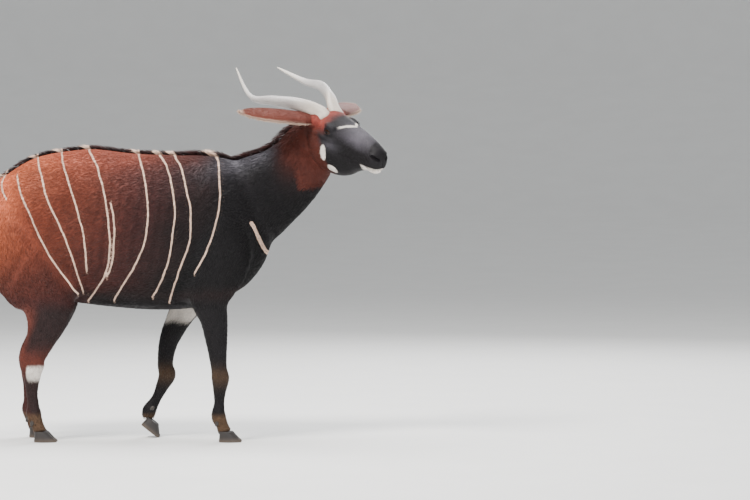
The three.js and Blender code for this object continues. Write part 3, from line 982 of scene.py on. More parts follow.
@dataclass(frozen=True)
class Markings:
    """The coat's colour at any point of the layout, with painted light laid in: the same for skin and
    hair.
    """

    dark_from: float = -620.0
    dark_to: float = 260.0
    lean: float = 0.45

    def ramp(self, share: Array) -> Array:
        """From orange at the rump to black at the shoulder."""
        stops = np.array([0.0, 0.22, 0.5, 0.74, 0.88, 1.0])
        tones = np.stack([ORANGE, CHESTNUT, RUSSET, MAHOGANY, SEAL, BLACK])
        return np.stack([np.interp(share, stops, tones[:, k]) for k in range(3)], axis=1)

    def body(self, p: Array) -> Array:
        """Trunk and limbs.

        Args:
            p: The points.

        Returns:
            One colour per point.
        """
        x, z = p[:, 0], p[:, 2]
        flank = np.abs(p[:, 1])
        wander = 55 * value_noise(p, 170, 1) + 22 * value_noise(p, 60, 2)
        along = x - self.lean * (z - 1000) + wander
        along = along - 190 * ease(1150, 1270, z) * ease(420, 200, x) * ease(-200, 0, x)
        tone = self.ramp((along - self.dark_from) / (self.dark_to - self.dark_from))
        belly = ease(700, 640, z + 0.5 * wander) * ease(-420, -300, x) * ease(560, 600, z)
        tone = blend(tone, SEAL, 0.9 * belly)
        rear = ease(-330, -420, x + 0.4 * (z - 700))
        tone = blend(tone, MAHOGANY, 0.72 * rear * ease(900, 660, z + 0.4 * wander))
        seat = ease(-690, -770, x) * ease(1040, 900, z) * ease(620, 720, z)
        tone = blend(tone, ORANGE, 0.55 * seat)
        # Painted light: a painted sun highlight along the back and over the top of the rump, and
        # painted shade on the flank below it.
        painted_sun_highlight = np.maximum(ease(1130, 1260, z), ease(-480, -620, x) * ease(900, 1060, z))
        shade = ease(1120, 1040, z + 0.5 * wander) * ease(-520, -380, x)
        tone = tone * (1 + 0.8 * painted_sun_highlight * ease(150, -150, x) - 0.22 * shade)[:, None]
        # A painted sheen on the black hair of the nape.
        painted_nape_sheen = hump((x - 430) / 150, (z - 1250 - 0.35 * (x - 430)) / 55)
        tone = blend(tone, PAINTED_SHEEN, 0.9 * np.clip(painted_nape_sheen * 1.2, 0, 1))
        throat = hump((x - 655) / 85, (z - 1300) / 105)
        tone = blend(tone, RUSSET * 0.75, np.clip(1.7 * throat, 0, 1) * ease(500, 590, x))
        return self.legs(tone, x, z, flank, wander)

    @staticmethod
    def legs(tone: Array, x: Array, z: Array, flank: Array, wander: Array) -> Array:
        """Limbs below the trunk: dark fronts, pale rear edges, white bands.

        Args:
            tone: The trunk's colours.
            x: Places forward.
            z: Heights.
            flank: Distances from the middle plane.
            wander: What makes the borders uneven, in millimetres.

        Returns:
            The colours with the limbs' own laid over them.
        """
        hind = x < -250
        low = ease(660, 600, z)
        ahead = x - np.interp(z, *np.array(HIND_AXIS, float).T) + 23
        gaskin = blend(SEAL, RUSSET * 1.2, ease(0, -60, ahead + 0.3 * wander))
        gaskin = blend(gaskin, MAHOGANY, ease(560, 640, z))
        gaskin = blend(gaskin, RUSSET, 0.9 * hump((z - 345) / 55))
        spot = hump((z - 294 + 0.25 * wander) / 46) * ease(-18, 8, ahead + 0.15 * wander)
        gaskin = blend(gaskin, WHITE, 0.85 * ease(0.35, 0.75, spot))
        shank = blend(SEAL, MAHOGANY, ease(10, -20, ahead))
        gaskin = blend(gaskin, shank, ease(290, 250, z))
        tone = blend(tone, gaskin, low * hind)
        inside = hump((z - 535 + 0.5 * wander) / 58) * ease(150, 110, flank)
        inside = inside * ease(66, 84, flank) * ease(592, 566, z)
        fore = blend(BLACK, WHITE * 0.7, 0.9 * ease(0.35, 0.85, inside))
        fore = blend(fore, FAWN * 0.16, 0.6 * hump((z - 285) / 42))
        tone = blend(tone, fore, low * ~hind)
        pastern = ease(130, 100, z + 0.3 * wander) * ease(30, 55, z)
        return blend(tone, FAWN * 0.26, 0.65 * pastern)

    @staticmethod
    def head(p: Array, tone: Array) -> Array:
        """The face: black, with a red crown, a chevron, two cheek spots, white lips, and a painted
        sheen on the cheek and the top of the nose.

        Args:
            p: The points.
            tone: The neck's and body's colours there.

        Returns:
            The colours with the face's own laid over them.
        """
        q = HEAD_FRAME.into(p)
        f, u = q[:, 0], q[:, 2]
        flank = np.abs(q[:, 1])
        wander = 8 * value_noise(p, 30, 5) + 3 * value_noise(p, 11, 6)
        border = 36 + 0.55 * np.maximum(-30 - u, 0)
        face = blend(RUSSET * 0.8, BLACK, ease(-22, 12, f - border + wander))
        face = blend(face, CROWN, ease(95, 40, f + wander) * ease(-75, -25, u))
        # A painted highlight on the cheek below the eye, and a painted sheen along the top of the
        # nose.
        face = blend(face, PAINTED_SHEEN * 0.9, 0.8 * hump((f - 120) / 40, (u + 95) / 24))
        painted_ridge_sheen = hump((f - 240) / 85) * ease(-75, -20, u + 0.8 * wander)
        face = blend(face, PAINTED_SHEEN * 1.5, 0.8 * painted_ridge_sheen)
        arm = f - (186 - 0.95 * flank) + 0.9 * wander
        chevron = ease(10, 4, np.abs(arm)) * ease(-62, -44, u) * ease(58, 44, flank)
        face = blend(face, WHITE * 0.8, 0.9 * chevron)
        for cf, cu, rf, ru, lean in CHEEK_SPOTS:
            along = f - cf - lean * (u - cu)
            spot = ((along + 0.4 * wander) / rf) ** 2 + ((u - cu + 0.4 * wander) / ru) ** 2
            face = blend(face, WHITE, ease(1.25, 0.8, spot) * (flank > 30))
        chin = ease(-112, -122, u + 0.3 * wander) * ease(285, 305, f)
        face = blend(face, WHITE, chin)
        muzzle = ease(-106, -112, u + 0.3 * wander) * ease(320, 340, f) * ease(-120, -116, u)
        face = blend(face, WHITE, 0.8 * muzzle)
        nose = ease(336, 346, f + 0.4 * (u + 70)) * ease(-100, -90, u)
        face = blend(face, BLACK * 1.4, nose)
        inside = ease(-70, -20, f + wander) * (u > -320) * (flank < 160)
        return blend(tone, face, inside)

    @staticmethod
    def beside(p: Array, path: Array) -> Array:
        """Signed distance in side view from a path, above 0 ahead of it.

        Args:
            p: The points.
            path: The path's x and z.

        Returns:
            The distance to the nearest of its straight pieces, FAR at most.
        """
        best = np.full(len(p), FAR)
        for a, b in zip(path[:-1], path[1:]):
            way = b - a
            dx, dz = p[:, 0] - a[0], p[:, 2] - a[1]
            t = np.clip((dx * way[0] + dz * way[1]) / (way @ way), 0, 1)
            ex, ez = dx - t * way[0], dz - t * way[1]
            away = np.hypot(ex, ez) * np.sign(ex + 1e-9)
            best = np.where(np.abs(away) < np.abs(best), away, best)
        return best

    @classmethod
    def offset(cls, p: Array) -> Array:
        """Signed distance in side view from the nearest stripe's middle, in millimetres.

        Args:
            p: The points.

        Returns:
            The distances, FAR where no stripe is near.
        """
        best = np.full(len(p), FAR)
        jitter = 1.8 * value_noise(p, 38, 8) + 1.2 * value_noise(p, 9, 9)
        for k, line in enumerate(STRIPES):
            path = smoothed(np.array(line, float), 5)
            path[:, 0] += NEARER * (SIGHT_X - path[:, 0])
            away = cls.beside(p, path) * (-1) ** k
            best = np.where(np.abs(away) < np.abs(best), away, best)
        trunk = (p[:, 2] > 600) & (p[:, 0] < 420)
        best = np.where(trunk & (np.abs(best) < STRIPE_REACH), best + jitter, FAR)
        crescent = np.abs(cls.beside(p, smoothed(np.array(CRESCENT, float), 4)))
        chest = crescent + 2.0 * value_noise(p, 14, 12) - (CRESCENT_HALF - STRIPE_HALF)
        return np.where(chest < STRIPE_REACH, chest, best)

    def tone(self, p: Array) -> tuple[Array, Array]:
        """Colour without the stripes, and the signed distance from them."""
        colour = self.head(p, self.body(p))
        speckle = 1 + 0.16 * value_noise(p, 24, 10) + 0.10 * value_noise(p, 7, 11)
        return colour * speckle[:, None], self.offset(p)


MARKINGS = Markings()


@dataclass
class LieField:
    """The way the coat lies: back along head, neck and trunk, and down the limbs.

    At a point it is the mean of the lofts' own directions, weighted by exp(-sharp * distance),
    with distance counted in radii of the section.
    """

    sharp: float = 7.0
    sag: float = 0.5
    chunk: int = 20000

    def __post_init__(self) -> None:
        """Collect the sections of every loft."""
        centres, ways, radii = [], [], []
        for name, loft in {**TRUNK, **LIMBS, "head": HEAD_LOFT}.items():
            c, tangent, _, _, reach = loft.sections(5)
            way = tangent * loft.flow
            if name == "torso":
                way = way - np.array([0.0, 0.0, self.sag])
            if name == "head":
                c, way = HEAD_FRAME.out(c), way @ HEAD_FRAME.axes()
            centres.append(c)
            ways.append(unit(way))
            radii.append(reach.mean(axis=1))
        self.centres = np.vstack(centres)
        self.ways = np.vstack(ways)
        self.radii = np.concatenate(radii)

    def at(self, points: Array, normals: Array) -> Array:
        """Unit directions in the tangent plane, one per point, worked out some points at a time.

        Args:
            points: Places on the skin.
            normals: Its normals there.

        Returns:
            The directions.
        """
        out = np.empty_like(points)
        for start in range(0, len(points), self.chunk):
            part = points[start : start + self.chunk]
            away = np.linalg.norm(part[:, None, :] - self.centres[None], axis=2) / self.radii
            weight = np.exp(-self.sharp * (away - away.min(axis=1, keepdims=True)))
            out[start : start + self.chunk] = weight @ self.ways
        out -= normals * np.sum(out * normals, axis=1, keepdims=True)
        return unit(out)


@dataclass(frozen=True)
class Tuft:
    """One kind of tuft, in millimetres and degrees.

    A tuft is a three-sided lock: its middle line is root + t * length * way - fall * t^2 * normal,
    and its width goes from full at the root to a point.
    """

    length: float
    width: float
    thick: float
    lift: float
    fall: float = 0.55
    stray: float = 8.0
    sink: float = 1.5
    vary: float = 0.25


@dataclass
class Roots:
    """Where tufts grow: place, normal, lie, place on the unwrap, and colour."""

    points: Array
    normals: Array
    lies: Array
    uvs: Array
    tones: Array

    def pick(self, chosen: Array) -> "Roots":
        """Some of the roots."""
        return Roots(*(getattr(self, key.name)[chosen] for key in fields(self)))


# A tuft's triangles, and where its seven points lie on a patch of the unwrap this wide.
TUFT_POINTS = 7
PATCH = 0.0015
TUFT_FACES = np.array(
    [
        (0, 2, 1),
        (0, 1, 4), (0, 4, 3),
        (1, 2, 5), (1, 5, 4),
        (2, 0, 3), (2, 3, 5),
        (3, 4, 6), (4, 5, 6), (5, 3, 6),
    ]
)
TUFT_PATCH = np.array(
    [(-1, -1), (1, -1), (0, -0.6), (-0.7, 0.2), (0.7, 0.2), (0, 0.4), (0, 1)]
) * PATCH

# Painted light along each tuft, as factors on its root's colour: painted shade at the root and a
# painted highlight towards the tip.
TUFT_PAINTED_LIGHT = np.array([0.86, 0.86, 0.93, 1.0, 1.0, 1.04, 1.1])


@dataclass
class Grower:
    """Turns roots into meshes of solid tufts."""

    place: Placement
    rng: np.random.Generator

    def tufts(self, roots: Roots, kind: Tuft, scale: Array | float = 1.0) -> tuple[Array, Array]:
        """The points and the shade of every tuft.

        Args:
            roots: Where they grow.
            kind: Their shape.
            scale: A factor on the length of each.

        Returns:
            Points, seven to a tuft, and a factor on each tuft's colour.
        """
        count = len(roots.points)
        long = kind.length * scale * (1 + kind.vary * self.rng.uniform(-1, 1, count))
        lift = np.radians(kind.lift + kind.stray * 0.5 * self.rng.standard_normal(count))
        turn = np.radians(kind.stray * self.rng.standard_normal(count))
        n = roots.normals
        across = unit(np.cross(n, roots.lies))
        way = roots.lies * np.cos(turn)[:, None] + across * np.sin(turn)[:, None]
        across = unit(np.cross(n, way))
        way = way * np.cos(lift)[:, None] + n * np.sin(lift)[:, None]
        fall = kind.fall * long * np.sin(np.clip(lift, 0, None))

        def centre(t: float) -> Array:
            """The tufts' middle lines at a share of their length."""
            return roots.points + way * (t * long)[:, None] - n * (fall * t * t)[:, None]

        root = centre(0.0) - n * kind.sink - way * kind.sink
        middle = centre(0.5)
        half = across * (kind.width / 2)
        thick = n * kind.thick
        seven = [
            root + half, root - half, root + thick,
            middle + half * 0.75, middle - half * 0.75, middle + thick * 0.8,
            centre(1.0),
        ]
        points = np.stack(seven, axis=1)
        shade = 1 + 0.13 * self.rng.standard_normal(count)
        return points, np.clip(shade, 0.6, 1.5)

    @staticmethod
    def stripes(points: Array) -> Array:
        """The distance from the stripes at each point of the tufts that grow near one."""
        out = np.full(points.shape[:2], FAR)
        near = (MARKINGS.offset(points[:, 2]) < FAR) | (MARKINGS.offset(points[:, 6]) < FAR)
        out[near] = MARKINGS.offset(points[near].reshape(-1, 3)).reshape(-1, points.shape[1])
        return out.ravel()

    def piece(self, name: str, batches: list[tuple[Roots, Tuft, Array | float]]) -> bpy.types.Object:
        """One object of tufts with its colours and its OFBake map.

        Args:
            name: The piece's name.
            batches: Roots, the kind of tuft on them, and a factor on the length.

        Returns:
            The piece.
        """
        all_points, all_tones, all_uvs = [], [], []
        for roots, kind, scale in batches:
            points, shade = self.tufts(roots, kind, scale)
            all_points.append(points)
            all_tones.append(roots.tones[:, None] * shade[:, None, None] * TUFT_PAINTED_LIGHT[None, :, None])
            all_uvs.append(roots.uvs[:, None] + TUFT_PATCH[None])
        points = np.concatenate(all_points)
        starts = np.arange(len(points))[:, None, None] * TUFT_POINTS
        faces = (starts + TUFT_FACES[None]).reshape(-1, 3)
        thing = tri_object(name, self.place.out(points.reshape(-1, 3)), faces)
        put_tones(thing, np.concatenate(all_tones).reshape(-1, 3), self.stripes(points))
        uvs = np.concatenate(all_uvs).reshape(-1, 2)[faces.ravel()]
        layer = thing.data.uv_layers.new(name="OFBake")
        layer.data.foreach_set("uv", np.clip(uvs, 0.0, 1.0).ravel())
        return thing


def tri_object(name: str, points: Array, faces: Array) -> bpy.types.Object:
    """A smooth object of triangles, set from whole arrays.

    Args:
        name: Its name.
        points: Its points, in metres.
        faces: Its triangles.

    Returns:
        The object.
    """
    mesh = bpy.data.meshes.new(name)
    mesh.vertices.add(len(points))
    mesh.vertices.foreach_set("co", np.asarray(points, np.float32).ravel())
    mesh.loops.add(faces.size)
    mesh.loops.foreach_set("vertex_index", faces.ravel().astype(np.int32))
    mesh.polygons.add(len(faces))
    mesh.polygons.foreach_set("loop_start", np.arange(0, faces.size, 3, dtype=np.int32))
    mesh.update(calc_edges=True)
    mesh.validate()
    thing = placed(name, mesh)
    shade_smooth(thing)
    return thing


def put_tones(thing: bpy.types.Object, tones: Array, offset: Array | None = None) -> None:
    """Store colours and distances from the stripes on the points.

    Args:
        thing: The piece.
        tones: One colour per point, in linear light.
        offset: Distances from the stripes in millimetres, left out on a piece without stripes.
    """
    mesh = thing.data
    if offset is None:
        offset = np.full(len(tones), FAR)
    rgba = np.ones((len(tones), 4), np.float32)
    rgba[:, :3] = np.clip(tones, 0.0, 1.0)
    mesh.attributes.new("coat", "FLOAT_COLOR", "POINT").data.foreach_set("color", rgba.ravel())
    values = np.asarray(offset, np.float32)
    mesh.attributes.new("stripe", "FLOAT", "POINT").data.foreach_set("value", values)


class Nodes:
    """A short way to write a node material."""

    def __init__(self, name: str) -> None:
        """Start a material with one Principled shader."""
        self.material = bpy.data.materials.new(name)
        self.material.use_nodes = True
        self.tree = self.material.node_tree
        self.shader = self.tree.nodes["Principled BSDF"]

    def node(self, kind: str, **values: object) -> bpy.types.Node:
        """A node with some of its properties set."""
        made = self.tree.nodes.new(kind)
        for key, value in values.items():
            setattr(made, key, value)
        return made

    def link(self, start: bpy.types.NodeSocket, end: bpy.types.NodeSocket) -> None:
        """Join two sockets."""
        self.tree.links.new(start, end)

    def noise(self, scale: float, detail: float) -> bpy.types.NodeSocket:
        """Noise on Object coordinates."""
        place = self.node("ShaderNodeTexCoord").outputs["Object"]
        noise = self.node("ShaderNodeTexNoise")
        noise.inputs["Scale"].default_value = scale
        noise.inputs["Detail"].default_value = detail
        self.link(place, noise.inputs["Vector"])
        return noise.outputs["Fac"]

    def ranged(self, value: bpy.types.NodeSocket, span: tuple[float, ...]) -> bpy.types.NodeSocket:
        """A value mapped from one range to another.

        Args:
            value: The value's socket.
            span: The first range's ends, then the second's.

        Returns:
            The mapped value's socket.
        """
        made = self.node("ShaderNodeMapRange")
        for key, number in zip(("From Min", "From Max", "To Min", "To Max"), span):
            made.inputs[key].default_value = number
        self.link(value, made.inputs["Value"])
        return made.outputs["Result"]

    def scaled(
        self, colour: bpy.types.NodeSocket, factor: bpy.types.NodeSocket
    ) -> bpy.types.NodeSocket:
        """A colour times a number."""
        made = self.node("ShaderNodeVectorMath", operation="SCALE")
        self.link(colour, made.inputs["Vector"])
        self.link(factor, made.inputs["Scale"])
        return made.outputs["Vector"]

    def bump(self, height: bpy.types.NodeSocket, strength: float, distance: float) -> None:
        """Bump from a height, in metres."""
        made = self.node("ShaderNodeBump")
        made.inputs["Strength"].default_value = strength
        made.inputs["Distance"].default_value = distance
        self.link(height, made.inputs["Height"])
        self.link(made.outputs["Normal"], self.shader.inputs["Normal"])

    def plain(self, values: dict[str, float]) -> None:
        """Constants on the shader's own sockets, by the sockets' names."""
        for name, value in values.items():
            self.shader.inputs[name].default_value = value


@dataclass(frozen=True)
class FurFinish:
    """Fur or haired skin: its own colour, thin stripes, streaks and a fine nap."""

    name: str
    roughness: float = 0.5
    sheen: float = 0.25
    nap: float = 420.0
    nap_depth: float = 0.0006

    def make(self) -> bpy.types.Material:
        """Build the material.

        Returns:
            The material.
        """
        n = Nodes(self.name)
        coat = n.node("ShaderNodeAttribute", attribute_name="coat")
        stripe = n.node("ShaderNodeAttribute", attribute_name="stripe")
        away = n.node("ShaderNodeMath", operation="ABSOLUTE")
        n.link(stripe.outputs["Fac"], away.inputs[0])
        share = n.ranged(away.outputs[0], (STRIPE_HALF - 0.9, STRIPE_HALF + 0.9, 1.0, 0.0))
        mix = n.node("ShaderNodeMix", data_type="RGBA")
        n.link(share, mix.inputs["Factor"])
        n.link(coat.outputs["Color"], mix.inputs["A"])
        mix.inputs["B"].default_value = (*CREAM, 1.0)
        fine = n.noise(self.nap, 3.0)
        tone = n.scaled(mix.outputs["Result"], n.ranged(fine, (0.25, 0.75, 0.78, 1.22)))
        n.link(tone, n.shader.inputs["Base Color"])
        n.bump(fine, 0.35, self.nap_depth)
        n.plain({"Roughness": self.roughness, "Specular IOR Level": 0.15})
        n.plain({"Sheen Weight": self.sheen, "Sheen Roughness": 0.45})
        return n.material


@dataclass(frozen=True)
class PaintedFinish:
    """A hard or wet finish whose colour is stored on the piece."""

    name: str
    roughness: float
    grain: float
    depth: float
    coat: float = 0.0
    specular: float = 0.5

    def make(self) -> bpy.types.Material:
        """Build the material.

        Returns:
            The material.
        """
        n = Nodes(self.name)
        stored = n.node("ShaderNodeAttribute", attribute_name="coat")
        fine = n.noise(self.grain, 5.0)
        tone = n.scaled(stored.outputs["Color"], n.ranged(fine, (0.3, 0.7, 0.9, 1.1)))
        n.link(tone, n.shader.inputs["Base Color"])
        rough = n.ranged(fine, (0.3, 0.7, self.roughness * 0.85, self.roughness * 1.15))
        n.link(rough, n.shader.inputs["Roughness"])
        n.bump(fine, 0.4, self.depth)
        n.plain({"Coat Weight": self.coat, "Coat Roughness": 0.05})
        n.plain({"Specular IOR Level": self.specular})
        return n.material


@dataclass
class Wardrobe:
    """Every finish of the animal, made once."""

    def __post_init__(self) -> None:
        """Build the materials."""
        self.skin = FurFinish("haired skin", 0.6, 0.03).make()
        self.fur = FurFinish("short coat", 0.46, 0.04, 700.0, 0.0003).make()
        self.long_hair = FurFinish("bristly hair", 0.55, 0.03, 900.0, 0.0002).make()
        self.horn = PaintedFinish("weathered horn", 0.45, 160.0, 0.0006, 0.05).make()
        self.claw = PaintedFinish("dark hoof", 0.5, 220.0, 0.0005).make()
        self.eye = PaintedFinish("wet eye", 0.06, 80.0, 0.0, 0.05, 0.14).make()
        self.lid = PaintedFinish("bare lid", 0.5, 500.0, 0.0003, 0.0, 0.25).make()
        self.ear = FurFinish("ear skin", 0.6, 0.05, 500.0, 0.0004).make()


def sheet_object(name: str, grid: Array, place: Placement) -> bpy.types.Object:
    """A smooth closed piece from rings of points.

    Args:
        name: The piece's name.
        grid: Rings by sides by three, in the layout.
        place: The layout's place in the scene.

    Returns:
        The piece, its faces outwards.
    """
    rings, sides = grid.shape[:2]
    thing = mesh_object(name, place.out(grid.reshape(-1, 3)), ring_faces(rings, sides))
    work = bmesh.new()
    work.from_mesh(thing.data)
    bmesh.ops.recalc_face_normals(work, faces=work.faces[:])
    bmesh.ops.triangulate(work, faces=[f for f in work.faces if len(f.verts) > 4])
    work.to_mesh(thing.data)
    work.free()
    shade_smooth(thing)
    return thing


@dataclass(frozen=True)
class Horn:
    """A smooth, keeled and twisted horn on an open lyre curve.

    The section is radius * (1 + keel * cos(3a)) on two unlike axes, turned along the path.
    """

    side: Side
    root: float = 30.0
    tip: float = 2.2
    keel: float = 0.09
    rib: float = 0.55
    ribs: int = 42
    around: int = 48

    def path(self) -> Array:
        """Stations in the head's axes."""
        table = np.array(HORN, float)
        table[:, 1] *= self.side.value
        table[:, 2] += HORN_LIFT[self.side]
        return smoothed(table, 30)

    def build(self, place: Placement) -> bpy.types.Object:
        """The horn's mesh and its stored colours.

        Args:
            place: The layout's place in the scene.

        Returns:
            The piece.
        """
        path = self.path()
        tangent = tangents(path)
        a = unit(np.cross(np.array([0.0, 0.0, 1.0]), tangent))
        b = np.cross(tangent, a)
        share = np.linspace(0, 1, len(path))[:, None]
        angle = circle(self.around)[None, :]
        fade = 1 - share**2.2
        keel = 1 + self.keel * np.cos(3 * angle)
        rib = np.sin(2 * math.pi * share * self.ribs) * ease(0.55, 0.12, share)
        rib = self.rib * rib * (0.6 + 0.4 * np.cos(angle - 0.8))
        foot = 0.5 + 0.5 * ease(0.0, 0.08, share)
        flat = 0.86 - 0.26 * share
        u = ((self.root * fade * foot + self.tip + rib) * keel) * np.cos(angle)
        v = ((self.root * flat * fade * foot + self.tip + rib) * keel) * np.sin(angle)
        u, v = rotated(u, v, self.side.value * np.radians(10 + 140 * share))
        grid = path[:, None] + a[:, None] * u[..., None] + b[:, None] * v[..., None]
        thing = sheet_object(f"Horn_{self.side.word}", HEAD_FRAME.out(grid), place)
        put_tones(thing, self.tones(share, angle))
        return thing

    @staticmethod
    def tones(share: Array, angle: Array) -> Array:
        """Colours of the rings: dark at the foot, grey above it, pale at the tip, with streaks.

        Args:
            share: The rings' shares of the length.
            angle: The angles round one.

        Returns:
            One colour per point.
        """
        around = np.broadcast_arrays(9 * share, 3 * np.cos(angle), 3 * np.sin(angle))
        streak = value_noise(np.stack(around, axis=-1).reshape(-1, 3), 0.7, 4)
        s = np.repeat(share, angle.size)
        tone = blend(HORN_LOW, HORN_MIDDLE, ease(0.25, 0.5, s))
        tone = blend(tone, HORN_TIP, ease(0.75, 0.97, s))
        tone = blend(tone, HORN_FOOT, 0.6 * ease(0.13, 0.07, s))
        return tone * (1 + 0.14 * streak)[:, None]


@dataclass(frozen=True)
class Ear:
    """A long leaf rolled into a cup, laid back with its opening down, with a rounded rim."""

    side: Side
    length: float = 322.0
    width: float = 54.0
    cup: float = 28.0
    wall: float = 4.0
    root_wall: float = 16.0
    buried: float = 24.0
    open_angle: float = 78.0
    root: tuple[float, float, float] = (-32.0, 82.0, -40.0)
    rings: int = 44
    arc: int = 25

    def axes(self) -> tuple[Array, Array, Array, Array]:
        """Root, aim, front and across, in the head's axes."""
        mirror = np.array([1, self.side.value, 1])
        aim = unit(np.array(EAR_AIM[self.side]) * mirror)
        front = np.array(EAR_FRONT)
        front = unit(front - aim * (front @ aim))
        return np.array(self.root) * mirror, aim, front, np.cross(aim, front) * self.side.value

    def shares(self) -> tuple[Array, Array]:
        """Shares of the way from root to tip as a column, and from edge to edge as a row."""
        return np.linspace(0, 1, self.rings)[:, None], np.linspace(-1, 1, self.arc)[None, :]

    def sheets(self) -> tuple[Array, Array]:
        """The outer and the inner surface, rings by arc by three, in the layout.

        Returns:
            The outer and the inner surface, rings by arc by three, in the layout.
        """
        root, aim, front, across = self.axes()
        t, v = self.shares()
        leaf = np.sin(math.pi * np.minimum(1, 0.2 + 0.8 * t**1.3)) ** 0.4
        half = self.width * (leaf * (1 - t**14) + 0.06 * t**14) * (0.72 + 0.28 * ease(0, 0.16, t))
        spread = 0.15 + 0.85 * ease(0, 0.3, t)
        depth = self.cup * np.sin(math.pi * (0.35 + 0.58 * t)) * (1 - 0.2 * spread)
        wall = self.wall + np.where(t < 0.12, (self.root_wall - self.wall) * (1 - t / 0.12), 0.0)
        centre = root + aim * (self.length * t - self.buried * (1 - t))[..., None]
        top = math.radians(self.open_angle)
        angle = v * top

        def sheet(inner: bool) -> Array:
            """One of the two surfaces: an arc in each ring, with three soft folds in the cup."""
            edge = np.abs(v) ** 6
            reach = half - (wall * 0.35 if inner else 0.0)
            fold = 1.6 * np.sin(9 * angle) * ease(0.1, 0.4, t) * ease(1.0, 0.7, t) if inner else 0.0
            lift = wall * (1 - 0.5 * edge) + fold if inner else 0.25 * wall * edge
            return (
                centre
                + across * (reach * np.sin(angle) / math.sin(top))[..., None]
                + front * (lift - depth * np.cos(angle))[..., None]
            )

        return HEAD_FRAME.out(sheet(False)), HEAD_FRAME.out(sheet(True))

    def build(self, place: Placement) -> bpy.types.Object:
        """The cup as one closed piece, with its colours.

        Args:
            place: The layout's place in the scene.

        Returns:
            The piece.
        """
        outer, inner = self.sheets()
        grid = np.concatenate([outer, inner[:, ::-1]], axis=1)
        thing = sheet_object(f"Ear_{self.side.word}", grid, place)
        t, v = self.shares()
        rim = np.maximum(ease(0.72, 0.95, np.abs(v)) * ease(0.1, 0.3, t), ease(0.9, 0.99, t))
        back = blend(RUSSET * 1.2, CREAM * 0.7, 0.6 * rim)
        hollow = blend(FAWN * 0.5, CREAM * 0.85, 0.8 * rim)
        # Painted shade deep in the middle of the cup, towards the root.
        hollow = blend(hollow, SEAL, 0.5 * ease(0.6, 0.2, np.abs(v)) * ease(0.8, 0.3, t))
        put_tones(thing, np.concatenate([back, hollow[:, ::-1]], axis=1).reshape(-1, 3))
        return thing

    def sampled(self, sheet: Array, t: Array, v: Array) -> tuple[Array, Array, Array]:
        """Places on a sheet, straight between its four nearest points.

        Args:
            sheet: Rings by arc by three.
            t: Shares of the way from root to tip.
            v: Places from edge to edge, -1 to 1.

        Returns:
            The points, and the sheet's directions there towards the tip and across.
        """
        row, column = t * (self.rings - 1), (v + 1) / 2 * (self.arc - 1)
        i = np.clip(row.astype(int), 0, self.rings - 2)
        j = np.clip(column.astype(int), 0, self.arc - 2)
        fi, fj = (row - i)[:, None], (column - j)[:, None]
        p = (sheet[i, j] * (1 - fi) + sheet[i + 1, j] * fi) * (1 - fj)
        p = p + (sheet[i, j + 1] * (1 - fi) + sheet[i + 1, j + 1] * fi) * fj
        return p, unit(sheet[i + 1, j] - sheet[i, j]), unit(sheet[i, j + 1] - sheet[i, j])

    def roots(self, count: int, rng: np.random.Generator) -> dict[str, Roots]:
        """Roots of the hair on the back, in the cup and along the rim.

        Args:
            count: Roots on the back and in the cup, and half as many along the rim.
            rng: Where the random places come from.

        Returns:
            The roots by the name of their place.
        """
        outer, inner = self.sheets()
        forward = self.axes()[2] @ HEAD_FRAME.axes()
        made: dict[str, Roots] = {}
        plans = {
            "back": (outer, 0.98, count),
            "cup": (inner, 0.93, count),
            "rim": (inner, 0.0, count // 2),
        }
        for name, (sheet, wide, many) in plans.items():
            t = rng.uniform(0.0, 0.985, many)
            if wide:
                v = rng.uniform(-wide, wide, many)
            else:
                v = rng.choice([-1, 1], many) * rng.uniform(0.86, 0.99, many)
            p, du, dv = self.sampled(sheet, t, v)
            normal = unit(np.cross(du, dv)) * self.side.value
            facing = -forward if name == "back" else forward
            normal = normal * np.sign(np.sum(normal * facing, axis=1))[:, None]
            if name == "back":
                lie = du
                tone = blend(CHESTNUT * 0.85, RUSSET, ease(0.6, 0.2, t))
                pale = np.maximum(ease(0.8, 0.97, np.abs(v)) * ease(0.25, 0.6, t), ease(0.9, 0.97, t))
                tone = blend(tone, CREAM * 0.9, 0.8 * pale)
            else:
                inward = -dv * np.sign(v)[:, None]
                lie = unit(du * 0.8 + inward * (0.7 if name == "cup" else -0.5))
                tone = np.broadcast_to(CREAM * 0.95, p.shape)
                if name == "cup":
                    tone = blend(tone, FAWN * 0.6, ease(0.85, 0.35, np.abs(v)))
            uv = np.stack([0.05 + 0.4 * t, 0.5 + 0.4 * v * (0.5 + 0.1 * self.side.value)], axis=1)
            made[name] = Roots(p, normal, lie, uv, np.array(tone))
        return made


# The lids' rings from the face inwards: scale, how pale the bare lid is, and how haired.
LID_RINGS = (
    (2.1, 0.35, 1.0),
    (1.8, 0.3, 1.0),
    (1.55, 0.2, 0.9),
    (1.35, 0.35, 0.5),
    (1.2, 0.6, 0.2),
    (1.08, 0.8, 0.0),
    (1.0, 0.9, 0.0),
    (0.95, 0.9, 0.0),
    (0.93, 0.8, 0.0),
    (0.95, 0.8, 0.0),
)


